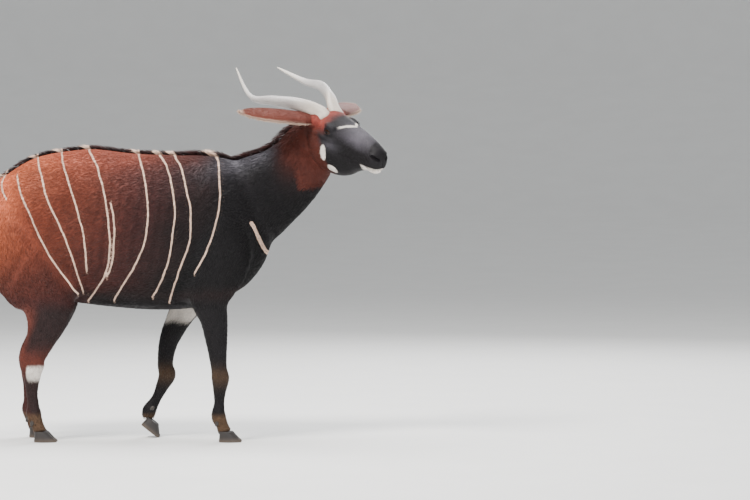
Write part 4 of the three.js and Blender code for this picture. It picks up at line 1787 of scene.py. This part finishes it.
@dataclass(frozen=True)
class Eye:
    """An eyeball with a raised cornea, a brown iris and a long pupil, its lids and its lashes."""

    side: Side
    cells: int = 56
    proud: float = 1.7
    thickness: float = 1.2
    lash_count: int = 46
    probe: float = 160.0

    def ball(self, place: Placement) -> bpy.types.Object:
        """The eyeball: a sphere, raised over the cornea by a smooth cap.

        Args:
            place: The layout's place in the scene.

        Returns:
            The piece.
        """
        theta = np.linspace(0.0, math.pi, self.cells // 2)[:, None]
        phi = circle(self.cells)[None, :]
        theta = np.clip(theta, POLE_GAP / 2, math.pi - POLE_GAP / 2)
        out = np.cos(theta) + 0 * phi
        radius = EYE.radius * (1 + 0.03 * ease(0.72, 0.9, out)) - 0.4
        f = np.sin(theta) * np.cos(phi)
        u = np.sin(theta) * np.sin(phi)
        local = np.stack([f * radius, self.side.value * out * radius, u * radius], axis=-1)
        grid = HEAD_FRAME.out(local + EYE.local(self.side))
        thing = sheet_object(f"Eyeball_{self.side.word}", grid, place)
        a, b = rotated(f, u, -math.radians(EYE.tilt))
        iris = ease(0.78, 0.70, np.hypot(a, b))
        pupil = ease(1.15, 0.85, np.hypot(a / 0.48, b / 0.27))
        streak = 1 + 0.25 * np.sin(17 * np.arctan2(b, a)) * iris
        tone = blend(blend(EYE_DARK, IRIS, iris) * streak[..., None], PUPIL, pupil)
        put_tones(thing, tone.reshape(-1, 3))
        return thing

    def lids(self, place: Placement, skin: BVHTree) -> bpy.types.Object:
        """The lids: rings from the face to the rim of the opening, then in to the ball.

        Each ring is the almond outline scaled up; between face and rim the height follows a
        rounded step, so that the rim stands a little proud of the ball.

        Args:
            place: The layout's place in the scene.
            skin: The skin, which the outer rings meet.

        Returns:
            Both lids as one piece.
        """
        s = self.side.value
        angle = circle(72)
        rings = []
        for scale, _, _ in LID_RINGS:
            a, b = EYE.outline(angle, scale)
            a = a - max(scale - 1, 0.0)
            flat = np.stack([EYE.forward + a, np.zeros_like(a), EYE.up + b], axis=1)
            ball = np.sqrt(np.maximum(EYE.radius**2 - (a**2 + b**2), 30.0)) + EYE.out
            face = np.array([self.face_height(skin, p) for p in flat])
            share = ease(1.7, 1.04, scale)
            fold = 1.4 * hump((scale - 1.28) / 0.12) * np.where(np.sin(angle) > 0, 1, 0.5)
            rim = ball + self.proud
            height = face * (1 - share) + rim * share - fold - 1.6 * ease(1.5, 1.9, scale)
            if scale < 1.0:
                height = rim - (1.0 - scale) * 30
            if scale == LID_RINGS[-1][0]:
                height = ball - 3.0
            flat[:, 1] = s * height
            rings.append(flat)
        grid = HEAD_FRAME.out(np.stack(rings))
        points = grid.reshape(-1, 3)
        faces = ring_faces(len(rings), len(angle), False)
        thing = mesh_object(f"Lids_{self.side.word}", place.out(points), faces)
        wall = thing.modifiers.new("Thickness", "SOLIDIFY")
        wall.thickness = self.thickness * MM
        wall.offset = -1.0
        shade_smooth(thing)
        bare, haired = np.repeat(np.array(LID_RINGS)[:, 1:], len(angle), axis=0).T
        put_tones(thing, blend(blend(BLACK, LID, bare), MARKINGS.tone(points)[0], haired))
        return thing

    def lashes(self) -> Roots:
        """Roots of the upper lid's lashes: along the rim, leaning out and up.

        Returns:
            The roots.
        """
        s = self.side.value
        angle = np.radians(np.linspace(18, 168, self.lash_count))
        a, b = EYE.outline(angle, 1.02)
        out = np.sqrt(EYE.radius**2 - np.minimum(a**2 + b**2, 350.0)) + EYE.out + 1.4
        local = np.stack([EYE.forward + a, s * out, EYE.up + b], axis=1)
        lean = np.stack([0.5 * np.cos(angle), 0 * angle, 0.55 + 0.3 * np.sin(angle)], axis=1)
        axes = HEAD_FRAME.axes()
        normal = np.broadcast_to(np.array([0.0, float(s), 0.0]) @ axes, local.shape)
        uv = np.stack([np.linspace(0.05, 0.95, len(a)), np.full(len(a), 0.5)], axis=1)
        tone = np.broadcast_to(BLACK, local.shape)
        return Roots(HEAD_FRAME.out(local), normal, unit(lean @ axes), uv, tone)

    def face_height(self, skin: BVHTree, flat: Array) -> float:
        """How far out the face lies, by a ray from outside.

        Args:
            skin: The skin.
            flat: Forward, out and up in the head's axes, of which out isn't read.

        Returns:
            The distance from the head's middle plane.
        """
        s = self.side.value
        start = HEAD_FRAME.out(np.array([flat[0], s * self.probe, flat[2]]))
        hit = skin.ray_cast(Vector(start), Vector(HEAD_FRAME.axes()[1] * -s), 200.0)[0]
        return self.probe / 2 if hit is None else abs(HEAD_FRAME.into(np.array(hit))[1])


# A claw's rings from sole to coronet: place forward, what is added to its length and to its
# half width, and height.
CLAW_RINGS = (
    (20.0, 1.0, -2.5, 0.0),
    (20.0, 3.5, -0.5, 1.2),
    (19.5, 3.0, 0.0, 4.0),
    (18.0, 2.0, 0.8, 9.0),
    (13.5, -4.0, 0.5, 18.0),
    (9.0, -9.0, 0.0, 28.0),
    (5.0, -13.5, -1.0, 37.0),
    (1.0, -17.0, -2.0, 45.7),
)


@dataclass(frozen=True)
class Foot:
    """Two claws and two dewclaws. A trailing foot is pitched on its toe and cut at the floor."""

    name: str
    x: float
    y: float
    pitch: float = 0.0
    half: float = 21.0
    length: float = 46.0
    spread: float = 23.0
    toe: float = 26.0
    cut: float = 6.0
    growth: float = 1.15
    around: int = 48
    knob: tuple[float, float, float] = (10.0, 9.0, 17.0)

    def matrix(self) -> tuple[Array, Array]:
        """The foot's frame.

        Returns:
            Rows of its axes, and its origin.
        """
        turn = math.radians(self.pitch)
        c, s = math.cos(turn), math.sin(turn)
        axes = np.array([[c, 0, -s], [0, 1, 0], [s, 0, c]])
        tip = (self.length + self.toe) * -s
        return axes, np.array([self.x, self.y, -tip - (self.cut if self.pitch else 0)])

    def claw(self, toe: Toe, place: Placement) -> bpy.types.Object:
        """One claw: rings from sole to coronet with worn growth lines and a rounded toe.

        A ring is length * cos(a) by half * sin(a), narrower at the toe and on the inner wall.

        Args:
            toe: Which claw.
            place: The layout's place in the scene.

        Returns:
            The piece.
        """
        rows = smoothed(np.array(CLAW_RINGS) + (0.0, self.length, self.half, 0.0), 5)
        back, long, half, high = (rows[:, k : k + 1] for k in range(4))
        angle = circle(self.around)[None, :]
        c, s = np.cos(angle), np.sin(angle)
        taper = 1 - 0.35 * np.maximum(0, c) ** 2
        inner = np.where(toe.value * s < 0, 0.82, 1.0)
        line = 0.35 * np.sin(high * self.growth + 0.8 * c) * ease(4, 12, high)
        x = back + (long + line) * c
        y = toe.value * self.spread + (half + line) * taper * inner * s
        axes, origin = self.matrix()
        grid = np.stack([x, y, np.broadcast_to(high, x.shape)], axis=-1) @ axes + origin
        grid[..., 2] = np.maximum(grid[..., 2], 0.0)
        thing = sheet_object(f"Claw_{self.name}_{toe.word}", grid, place)
        level = np.repeat(high, self.around)
        tone = blend(HOOF_LOW, HOOF_HIGH, ease(2, 24, level))
        tone = blend(tone, HOOF_WORN, 0.5 * ease(5, 0, level))
        put_tones(thing, tone * (1 + 0.12 * np.sin(level * self.growth))[:, None])
        return thing

    def dewclaw(self, toe: Toe, place: Placement) -> bpy.types.Object:
        """One small horny knob behind the fetlock: an ellipsoid drawn to a blunt point below.

        Args:
            toe: Which claw it stands behind.
            place: The layout's place in the scene.

        Returns:
            The piece.
        """
        points, faces = ellipsoid(np.zeros(3), np.array(self.knob), 20)
        points[:, 0] -= 5.0 * ease(0, -self.knob[2], points[:, 2])
        axes, origin = self.matrix()
        points = (points + np.array([-36.0, toe.value * 16.0, 84.0])) @ axes + origin
        thing = mesh_object(f"Dewclaw_{self.name}_{toe.word}", place.out(points), faces)
        shade_smooth(thing)
        put_tones(thing, np.broadcast_to(DEWCLAW, points.shape))
        return thing


FEET = (
    Foot("fore_right", 336.0, -115.0),
    Foot("fore_left", -26.0, 115.0, 38.0),
    Foot("hind_right", -470.0, -116.0),
    Foot("hind_left", -470.0 - HIND_LAG, 116.0),
)


@dataclass
class SkinMap:
    """The finished skin with its unwrap: where hair grows and what part of the map it takes."""

    skin: Skin
    place: Placement
    rng: np.random.Generator
    sky: float = 2500.0

    def build(self) -> bpy.types.Object:
        """Make the skin's object, unwrap it and keep what the hair needs.

        Returns:
            The skin's piece.
        """
        thing = tri_object("Skin", self.place.out(self.skin.points), self.skin.triangles)
        put_tones(thing, *MARKINGS.tone(self.skin.points))
        bpy.context.view_layer.objects.active = thing
        thing.select_set(True)
        bpy.ops.object.mode_set(mode="EDIT")
        bpy.ops.mesh.select_all(action="SELECT")
        bpy.ops.uv.smart_project(angle_limit=math.radians(66), island_margin=0.001)
        bpy.ops.object.mode_set(mode="OBJECT")
        thing.select_set(False)
        uv = np.empty(len(thing.data.loops) * 2, np.float32)
        thing.data.uv_layers.active.data.foreach_get("uv", uv)
        loops = np.empty(len(thing.data.loops), np.int32)
        thing.data.loops.foreach_get("vertex_index", loops)
        self.triangles = loops.reshape(-1, 3)
        self.uvs = uv.reshape(-1, 3, 2)
        self.normals = normals_of(self.skin.points, self.triangles)
        self.lie = LieField()
        self.tree = BVHTree.FromPolygons(self.skin.points.tolist(), self.triangles.tolist())
        return thing

    def roots_at(self, faces: Array, weights: Array) -> Roots:
        """Roots on given triangles.

        Args:
            faces: The triangles' numbers.
            weights: Each root's barycentric weights.

        Returns:
            The roots.
        """
        corners = self.triangles[faces]
        w = weights[..., None]
        points = np.sum(self.skin.points[corners] * w, axis=1)
        normals = unit(np.sum(self.normals[corners] * w, axis=1))
        uvs = np.sum(self.uvs[faces] * w, axis=1)
        tones, _ = MARKINGS.tone(points)
        return Roots(points, normals, self.lie.at(points, normals), uvs, tones)

    def scatter(self, count: int, weight: Array) -> Roots:
        """Random roots, spread evenly by area.

        Args:
            count: How many.
            weight: The density on each triangle.

        Returns:
            The roots.
        """
        a, b, c = (self.skin.points[self.triangles[:, k]] for k in range(3))
        area = np.linalg.norm(np.cross(b - a, c - a), axis=1) * weight
        steps = (np.arange(count) + self.rng.uniform(0, 1, count)) / count
        faces = np.searchsorted(np.cumsum(area) / area.sum(), steps)
        faces = np.minimum(faces, len(area) - 1)
        r = np.sqrt(self.rng.uniform(0, 1, count))
        s = self.rng.uniform(0, 1, count)
        return self.roots_at(faces, np.stack([1 - r, r * (1 - s), r * s], axis=1))

    def nearest(self, points: Array) -> Roots:
        """Roots on the skin beside given points.

        Args:
            points: Places near the skin.

        Returns:
            The roots.
        """
        faces, weights = [], []
        for p in points:
            spot, _, index, _ = self.tree.find_nearest(Vector(p))
            corners = self.skin.points[self.triangles[index]]
            faces.append(index)
            weights.append(self.shares(np.array(spot), corners))
        return self.roots_at(np.array(faces), np.array(weights))

    @staticmethod
    def shares(p: Array, corners: Array) -> Array:
        """Barycentric weights of a point in a triangle.

        Args:
            p: The point.
            corners: The triangle's corners.

        Returns:
            The weights.
        """
        a, b, c = corners
        n = np.cross(b - a, c - a)
        size = max(n @ n, 1e-9)
        wb = np.cross(p - a, c - a) @ n / size
        wc = np.cross(b - a, p - a) @ n / size
        return np.clip(np.array([1 - wb - wc, wb, wc]), 0, 1)

    def from_above(self, places: Array) -> Array:
        """The top of the skin at given x and y, by a ray from above.

        Args:
            places: Pairs of x and y.

        Returns:
            Points where a ray met the skin.
        """
        out = []
        for x, y in places:
            hit = self.tree.ray_cast(Vector((x, y, self.sky)), Vector((0, 0, -1)), self.sky)[0]
            if hit is not None:
                out.append(np.array(hit))
        return np.array(out)


@dataclass
class Coat:
    """All the hair on the skin: the short coat, the crest and nape, and the tail's tuft."""

    map: SkinMap
    rng: np.random.Generator
    trunk_count: int = 90000
    leg_count: int = 17000
    head_count: int = 19000
    crest_count: int = 2600
    tail_count: int = 900
    limit: int = 19000
    trunk_kind: Tuft = Tuft(23, 2.9, 0.8, 5.5, stray=6)
    leg_kind: Tuft = Tuft(13, 2.4, 0.7, 7, stray=7)
    head_kind: Tuft = Tuft(8.5, 1.6, 0.45, 6, stray=8, sink=0.8)
    crest_kind: Tuft = Tuft(50, 4.2, 2.0, 36, fall=0.3, stray=9, sink=3)
    tail_kind: Tuft = Tuft(175, 6.0, 3.0, 3, fall=0.0, stray=4, vary=0.18, sink=3)

    def build(self, grower: Grower) -> dict[str, bpy.types.Object]:
        """Every piece of hair that grows on the skin.

        Args:
            grower: What makes the tufts.

        Returns:
            The pieces by name.
        """
        pieces: dict[str, bpy.types.Object] = {}
        head, leg, bare = self.regions()
        plans = (
            ("Coat_trunk", self.trunk_count, ~head & ~leg, self.trunk_kind, self.trunk_scale),
            ("Coat_legs", self.leg_count, leg, self.leg_kind, self.leg_scale),
            ("Coat_head", self.head_count, head, self.head_kind, self.head_scale),
        )
        for name, count, region, kind, scale in plans:
            roots = self.map.scatter(count, (region & ~bare).astype(float))
            pieces |= self.split(name, grower, roots, kind, scale(roots.points))
        pieces["Crest"] = self.crest(grower)
        pieces["Tail_tuft"] = self.tail(grower)
        return pieces

    def regions(self) -> tuple[Array, Array, Array]:
        """Which triangles are the head's, the legs', and bare.

        Returns:
            Three masks over the triangles.
        """
        middle = self.map.skin.points[self.map.triangles].mean(axis=1)
        q = HEAD_FRAME.into(middle)
        f, l, u = q.T
        head = (f > -30) & (np.abs(l) < 140) & (u > -290)
        leg = (middle[:, 2] < 600) & (middle[:, 0] < 500)
        nose = head & (f > 344) & (u > -104)
        eye = head & (EYE.depth(f - EYE.forward, u - EYE.up) > -0.55) & (np.abs(l) > 50)
        horn = np.zeros(len(f), dtype=bool)
        for side in Side:
            foot = Horn(side).path()[:60:6]
            horn |= np.linalg.norm(q[:, None] - foot[None], axis=2).min(axis=1) < 31
        sole = middle[:, 2] < 50
        return head, leg, nose | eye | horn | sole

    def split(self, name: str, grower: Grower, roots: Roots, kind: Tuft, scale: Array) -> dict:
        """One kind of coat as pieces of a limited size, each spread over the whole region.

        Args:
            name: The pieces' name, which a number follows.
            grower: What makes the tufts.
            roots: All the roots of the region.
            kind: The kind of tuft.
            scale: A factor on the length of each.

        Returns:
            The pieces by name.
        """
        many = math.ceil(len(roots.points) / self.limit)
        made = {}
        for k in range(many):
            part = slice(k, None, many)
            label = f"{name}_{k + 1}"
            made[label] = grower.piece(label, [(roots.pick(part), kind, scale[part])])
        return made

    @staticmethod
    def trunk_scale(p: Array) -> Array:
        """Length over the trunk: longer on the nape and belly line, shorter by the hind legs."""
        x, z = p[:, 0], p[:, 2]
        nape = ease(250, 420, x) * ease(1180, 1240, z - 0.5 * (x - 420))
        belly = ease(640, 585, z) * ease(-420, -300, x)
        return 1.0 + 0.35 * nape + 0.25 * belly - 0.3 * ease(700, 600, z) * (x < -400)

    @staticmethod
    def leg_scale(p: Array) -> Array:
        """Length down the legs: shorter on the cannon, longer behind the fetlock."""
        z = p[:, 2]
        return 0.75 + 0.5 * ease(330, 600, z) + 0.6 * hump((z - 95) / 22)

    @staticmethod
    def head_scale(p: Array) -> Array:
        """Length over the head: longest behind the cheek and on the crown."""
        return 0.75 + 1.1 * ease(110, -20, HEAD_FRAME.into(p)[:, 0])

    def crest(self, grower: Grower) -> bpy.types.Object:
        """The bristly crest from the nape over the withers to the tail.

        Args:
            grower: What makes the tufts.

        Returns:
            The piece.
        """
        x = self.rng.uniform(-752, 655, self.crest_count)
        y = 6.0 * self.rng.standard_normal(self.crest_count)
        roots = self.map.nearest(self.map.from_above(np.stack([x, y], axis=1)))
        px = roots.points[:, 0]
        scale = 0.85 + 0.3 * ease(100, 320, px) + 0.1 * ease(420, 560, px)
        scale = scale - 0.35 * ease(-640, -740, px)
        dark = value_noise(roots.points, 26, 21)
        tone = blend(SEAL, MAHOGANY, np.clip(0.5 + dark, 0, 1))
        stripe = np.abs(MARKINGS.offset(roots.points)) < 13
        roots.tones = np.where(stripe[:, None], CREAM * 0.9, tone)
        return grower.piece("Crest", [(roots, self.crest_kind, scale)])

    def tail(self, grower: Grower) -> bpy.types.Object:
        """Long hair from the tail's lower part, longest at its end.

        Args:
            grower: What makes the tufts.

        Returns:
            The piece.
        """
        count = self.tail_count
        centres, tangent, across, up, reach = TRUNK["tail"].sections(12)
        share = self.rng.uniform(0, 1, count) ** 0.7
        z = 720 - share * 118
        order = np.argsort(centres[:, 2])
        index = order[np.clip(np.searchsorted(centres[order, 2], z), 0, len(order) - 1)]
        angle = self.rng.uniform(0, 2 * math.pi, count)
        way = across[index] * np.cos(angle)[:, None] + up[index] * np.sin(angle)[:, None]
        points = centres[index] + way * (reach[index, 0:1] - 2)
        uvs = self.map.nearest(points).uvs
        tone = blend(BLACK, SEAL, self.rng.uniform(0, 1, count))
        roots = Roots(points, way, tangent[index], uvs, tone)
        return grower.piece("Tail_tuft", [(roots, self.tail_kind, 0.55 + 0.45 * share)])


def aim_at(thing: bpy.types.Object, start: Vector, aim: Vector) -> None:
    """Stand a camera or lamp at a place and turn it to its aim."""
    thing.location = start
    thing.rotation_euler = (aim - start).to_track_quat("-Z", "Y").to_euler()


@dataclass(frozen=True)
class Lamp:
    """One soft square light, in metres and watts."""

    name: str
    at: tuple[float, float, float]
    aim: tuple[float, float, float]
    size: float
    power: float
    tint: tuple[float, float, float] = (1.0, 1.0, 1.0)

    def hang(self) -> None:
        """Put the light in the scene."""
        light = bpy.data.lights.new(self.name, "AREA")
        light.size = self.size
        light.energy = self.power
        light.color = self.tint
        aim_at(placed(self.name, light), Vector(self.at), Vector(self.aim))


LAMPS = (
    Lamp("Key", (-2.6, -4.2, 7.0), (0.0, 0.0, 0.9), 2.4, 1150.0, (1.0, 0.97, 0.93)),
    Lamp("Fill", (4.5, -6.0, 2.6), (0.2, 0.0, 0.8), 4.5, 150.0, (0.93, 0.96, 1.0)),
    Lamp("Top", (0.0, 1.0, 6.5), (0.0, 0.0, 0.8), 4.0, 560.0),
    Lamp("Rim", (2.0, 5.5, 4.0), (0.2, 0.0, 0.9), 3.0, 260.0),
)


@dataclass(frozen=True)
class Studio:
    """Camera, floor and soft light. The view is level, from the animal's right."""

    aim: tuple[float, float, float] = (0.987, 0.0, 0.834)
    distance: float = 14.0
    height: float = 1.30
    lens: float = 153.0
    air: tuple[float, float, float, float] = (0.86, 0.88, 0.90, 1.0)
    air_strength: float = 0.66
    sunk: float = 0.0005
    around: int = 96

    def build(self, place: Placement) -> None:
        """Make the camera, the floor with its backdrop, and the lights.

        Args:
            place: The layout's place in the scene.
        """
        self.camera(np.array(self.aim) + place.shift * np.array([1, 1, 0]))
        self.backdrop()
        for lamp in LAMPS:
            lamp.hang()
        world = bpy.data.worlds.new("Pale room")
        bpy.context.scene.world = world
        world.use_nodes = True
        shade = world.node_tree.nodes["Background"]
        shade.inputs["Color"].default_value = self.air
        shade.inputs["Strength"].default_value = self.air_strength

    def camera(self, aim: Array) -> None:
        """A long lens, so that the side view is nearly square on.

        Args:
            aim: What it looks at, in metres.
        """
        lens = bpy.data.cameras.new("View")
        lens.lens = self.lens
        lens.sensor_width = 36.0
        lens.clip_end = 200.0
        view = placed("View", lens)
        aim_at(view, Vector((aim[0], aim[1] - self.distance, self.height)), Vector(aim))
        bpy.context.scene.camera = view

    def backdrop(self) -> None:
        """A pale floor that curves up into a wall on every side: a lathed profile."""
        radius = np.array([0.0, 2.0, 6.0, 14.0, 22.0, 27.0, 30.0, 31.5, 32.0])
        height = np.array([0.0, 0.0, 0.0, 0.0, 0.5, 2.2, 5.0, 9.0, 18.0])
        angle = circle(self.around)
        x = radius[1:, None] * np.cos(angle)
        y = radius[1:, None] * np.sin(angle)
        z = np.broadcast_to(height[1:, None], x.shape) - self.sunk
        points = np.vstack([np.stack([x, y, z], axis=-1).reshape(-1, 3), [[0, 0, -self.sunk]]])
        faces = [face[::-1] for face in ring_faces(len(radius) - 1, self.around, False)]
        hub = len(points) - 1
        faces += [(hub, i, (i + 1) % self.around) for i in range(self.around)]
        floor = mesh_object("Floor", points, faces)
        shade_smooth(floor)
        n = Nodes("pale floor")
        fine = n.noise(3.0, 4.0)
        ramp = n.node("ShaderNodeValToRGB")
        ramp.color_ramp.elements[0].color = (0.78, 0.78, 0.77, 1)
        ramp.color_ramp.elements[1].color = (0.84, 0.84, 0.83, 1)
        n.link(fine, ramp.inputs["Fac"])
        n.link(ramp.outputs["Color"], n.shader.inputs["Base Color"])
        n.plain({"Roughness": 0.85})
        floor.data.materials.append(n.material)


FLESH = ["torso", "neck", "head", "tail"] + [
    f"{part}_{side.word}"
    for part in ("shoulder", "forearm", "fore_shank", "thigh", "gaskin", "hind_shank")
    for side in Side
]


def dress(thing: bpy.types.Object, material: bpy.types.Material, slot: str, *nodes: str) -> None:
    """Give a piece its material and body, and hide the solids that it stands for.

    Args:
        thing: The piece.
        material: Its material.
        slot: Not used.
        nodes: The solids that it replaces.
    """
    thing.data.materials.append(material)
    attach(thing, "root")
    if nodes:
        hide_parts(*nodes)
    LOG.info("%s: %d faces", thing.name, len(thing.data.polygons))


# The hair of the ears and the lashes of the upper lids.
EAR_COUNT = 2600
EAR_KINDS = {
    "back": Tuft(9, 1.8, 0.4, 6, stray=8, sink=0.6),
    "cup": Tuft(17, 1.6, 0.5, 16, stray=14, sink=0.8),
    "rim": Tuft(17, 1.5, 0.5, 24, stray=14, sink=0.8),
}
LASH_KIND = Tuft(13, 1.1, 0.5, 52, stray=5, fall=0.35, sink=0.5)

# The record's slots of the hair on the skin, by the start of a piece's name.
HAIR_SLOTS = {"Coat_legs": "coat_leg", "Coat_head": "coat_head", "Crest": "coat_neck"}


@dataclass
class Bongo:
    """The whole animal."""

    rng: np.random.Generator = field(default_factory=lambda: np.random.default_rng(RNG_SEED))

    def build(self) -> None:
        """Make and dress every piece, in order."""
        place = Placement.from_frame(EYE)
        Studio().build(place)
        wardrobe = Wardrobe()
        skin = Skin()
        skin.build()
        skin_map = SkinMap(skin, place, self.rng)
        dress(skin_map.build(), wardrobe.skin, "coat_body", *FLESH)
        grower = Grower(place, self.rng)
        for name, piece in Coat(skin_map, self.rng).build(grower).items():
            slot = next((s for key, s in HAIR_SLOTS.items() if name.startswith(key)), "coat_body")
            long = name in ("Crest", "Tail_tuft")
            dress(piece, wardrobe.long_hair if long else wardrobe.fur, slot)
        for side in Side:
            self.head_parts(side, place, wardrobe, skin_map.tree, grower)
        for foot in FEET:
            for toe in Toe:
                dress(foot.claw(toe, place), wardrobe.claw, "hoof", f"claw_{foot.name}_{toe.word}")
                dress(foot.dewclaw(toe, place), wardrobe.claw, "hoof")

    def head_parts(
        self, side: Side, place: Placement, wardrobe: Wardrobe, tree: BVHTree, grower: Grower
    ) -> None:
        """Horn, ear with its hair, eyeball, lids and lashes of one side.

        Args:
            side: Which side.
            place: The layout's place in the scene.
            wardrobe: The finishes.
            tree: The skin, which the lids meet.
            grower: What makes the hair.
        """
        word = side.word
        dress(Horn(side).build(place), wardrobe.horn, "horn", f"horn_{word}")
        ear = Ear(side)
        dress(ear.build(place), wardrobe.ear, "coat_head", f"ear_{word}")
        hair = ear.roots(EAR_COUNT, self.rng)
        batches = [(roots, EAR_KINDS[part], 1.0) for part, roots in hair.items()]
        dress(grower.piece(f"Ear_hair_{word}", batches), wardrobe.fur, "coat_head")
        eye = Eye(side)
        dress(eye.ball(place), wardrobe.eye, "eye", f"eye_{word}")
        dress(eye.lids(place, tree), wardrobe.lid, "coat_head")
        lashes = grower.piece(f"Lashes_{word}", [(eye.lashes(), LASH_KIND, 1.0)])
        dress(lashes, wardrobe.long_hair, "coat_head")


def main() -> None:
    """Load the frame, build the animal over it, and finish."""
    logging.basicConfig(level=logging.INFO, format="%(message)s")
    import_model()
    Bongo().build()


if __name__ == "__main__":
    main()
